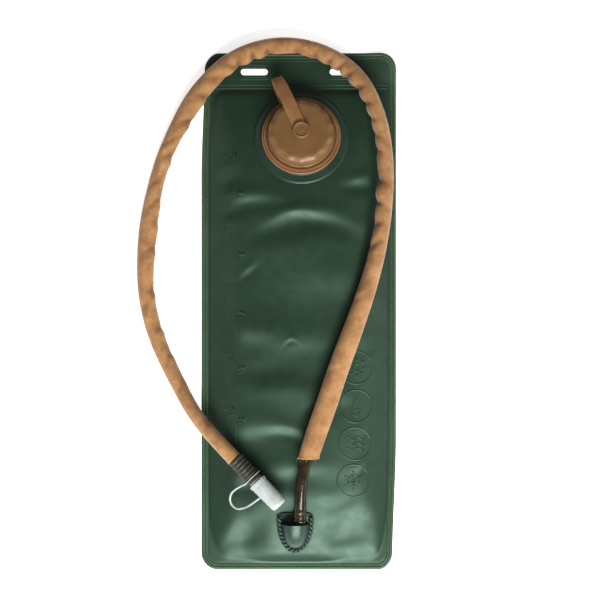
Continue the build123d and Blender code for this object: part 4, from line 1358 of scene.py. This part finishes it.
def make_port_rope():
    """The moulded rope near the plate's edge: two strands twisted round each other."""
    flat = np.array(shield_outline(2.35, 15.2, 0.0))
    flat = np.column_stack([flat, np.full(len(flat), 2.1)])
    line, along = evenly(flat, 0.45)
    line = np.array([PORT @ Vector(point) for point in line])
    _, side, rise = sides_of(line, tuple(PORT.to_3x3() @ Vector((0, 0, 1))))
    points, faces = [], []
    for start in (0.0, math.pi):
        angle = (2 * math.pi * along / ROPE_PITCH + start)[:, None]
        strand = line + ROPE_TWIST_R * (np.cos(angle) * side + np.sin(angle) * rise)
        size = ROPE_STRAND_R * np.minimum(1.0, 0.35 + np.minimum(along, along[-1] - along) / 2.0)
        faces += capped_faces(len(strand), 12, len(points))
        points += list(round_tube(strand, size, 12).reshape(-1, 3))
    rope = add_piece("port_rope_rim", points, faces, [PORT_GREEN])
    keep_as(rope, "reservoir", "port_green")


# along a rib and how far up its side
RIB_SHAPE = ((0.06, 0.0), (0.16, 0.7), (0.32, 1.0), (0.66, 1.0), (0.84, 0.7), (0.94, 0.0))


def make_grip():
    """The mouthpiece's rubber grip: soft round ribs over a straight barrel."""
    start, end, ribs, crest, valley = -7.7, 12.2, 6, 7.0, 6.15
    pitch = (end - start) / ribs
    profile = [(4.85, start), (5.6, start)]
    for rib in range(ribs):
        foot = start + rib * pitch
        for share, rise in RIB_SHAPE:
            profile.append((valley + (crest - valley) * rise, foot + share * pitch))
    profile += [(5.6, end), (3.5, end), (3.5, 2.1), (4.7, 2.0), (4.85, 0.0)]
    points, faces = lathe(profile, VALVE, 64, closed=True)
    grip = add_piece("ribbed_grip", points, faces, [GRIP_RUBBER])
    keep_as(grip, "reservoir", "grip_rubber", "valve_grip")
    return grip


# r, distance along the hose's end, and how fully the knurls cut there
DUST_PROFILE = [
    (0, 45.1, 0), (3.4, 45.1, 0), (5.0, 44.9, 0), (6.1, 44.3, 0), (6.8, 43.2, 0), (7.05, 41.8, 0),
    (7.2, 34.0, 0), (7.38, 21.2, 0), (7.45, 20.6, 0), (7.85, 20.1, 1), (7.9, 19.0, 1), (7.85, 18.0, 1),
    (7.6, 17.8, 0), (6.55, 17.8, 0), (6.4, 19.0, 0), (6.15, 34.0, 0), (5.95, 42.6, 0), (5.0, 43.5, 0),
    (0, 43.6, 0),
]
KNURLS = 20
KNURL_DEEP = 0.22


def make_dust_cap():
    """The frosted dust cap with its knurled rim."""

    def knurled(step, r, turn):
        return r - DUST_PROFILE[step][2] * KNURL_DEEP * (1 + math.cos(KNURLS * turn))

    outline = [(r, along) for r, along, _ in DUST_PROFILE]
    keep = ("dust_cap", "dust_cap_frosted", "dust_cap")
    return turned_piece("frosted_dust_cap", outline, VALVE, KNURLS * 6, FROSTED, 50, keep, knurled)


# ---- CAD nodes kept as they are

NODE_MATERIALS = {
    "fill_flange": PORT_GREEN,
    "fill_neck": NECK_TAN,
    "cap_gasket": SEAL_RUBBER,
    "outlet_elbow": ELBOW_SMOKY,
    "elbow_o_ring": SEAL_RUBBER,
    "valve_barb": BARB_DARK,
    "bite_valve": MOUTH_SILICONE,
}


def finish_nodes():
    """Puts the materials on the nodes whose meshes stay as the frame has them."""
    for name, material in NODE_MATERIALS.items():
        for slot in frame["nodes"][name].material_slots:
            slot.link = "OBJECT"
            slot.material = material


# ---- stage, light and camera

def area_light(name, place, size, energy):
    """A white rectangular light that points at the middle of the scene."""
    light = bpy.data.lights.new(name, "AREA")
    light.shape = "RECTANGLE"
    light.size, light.size_y = size
    light.energy = energy
    holder = bpy.data.objects.new(name, light)
    holder.location = place
    holder.rotation_euler = (-Vector(place)).to_track_quat("-Z", "Y").to_euler()
    scene.collection.objects.link(holder)


def make_stage():
    """The paper floor, which glows a little so that shadows stay pale, and the lights."""
    floor_made = Surface("floor_paper", Specular_IOR_Level=0.15, Roughness=0.9)
    paper = floor_made.mix(floor_made.clouds(240, 2, 0.3, 0.7), (0.86,) * 3, (0.89,) * 3)
    floor_made.colour(paper)
    floor_made.tree.links.new(paper, floor_made.shader.inputs["Emission Color"])
    floor_made.shader.inputs["Emission Strength"].default_value = 0.75
    mesh = bpy.data.meshes.new("floor")
    half = 3.0
    corners = [(-half, -half, 0), (half, -half, 0), (half, half, 0), (-half, half, 0)]
    mesh.from_pydata(corners, [], [(0, 1, 2, 3)])
    mesh.materials.append(floor_made.material)
    floor = bpy.data.objects.new("floor", mesh)
    scene.collection.objects.link(floor)

    world = bpy.data.worlds.new("studio")
    world.use_nodes = True
    backdrop = world.node_tree.nodes["Background"].inputs
    backdrop["Color"].default_value = (1.0, 1.0, 1.0, 1.0)
    backdrop["Strength"].default_value = 0.14
    scene.world = world
    area_light("south_softbox", (0.22, -1.12, 1.14), (1.1, 0.62), 47)
    area_light("east_strip", (1.25, -0.1, 0.95), (0.06, 1.3), 5)
    area_light("west_fill", (-1.3, 0.1, 1.0), (0.3, 1.2), 3)


def make_camera():
    """A long lens straight above the bag."""
    lens = bpy.data.cameras.new("camera")
    lens.lens = 90.0
    lens.sensor_width = 36.0
    lens.clip_end = 20.0
    camera = bpy.data.objects.new("camera", lens)
    camera.location = (0.001, 0.0095, 1.25)
    scene.collection.objects.link(camera)
    scene.camera = camera
    scene.view_settings.view_transform = "Standard"


# ---- making

make_camera()
hose_line = centre_line(ROUTE) / MM
hose = make_hose(hose_line)
sleeve, hem = make_sleeve(hose_line)
threads = make_hem_threads(hem)
loop = make_dust_tether()
grip = make_grip()
dust_cap = make_dust_cap()
finish_nodes()
make_films()
make_welts()
make_flange_weld()
make_cap()
make_cap_tether()
make_port()
make_port_rope()
make_stage()
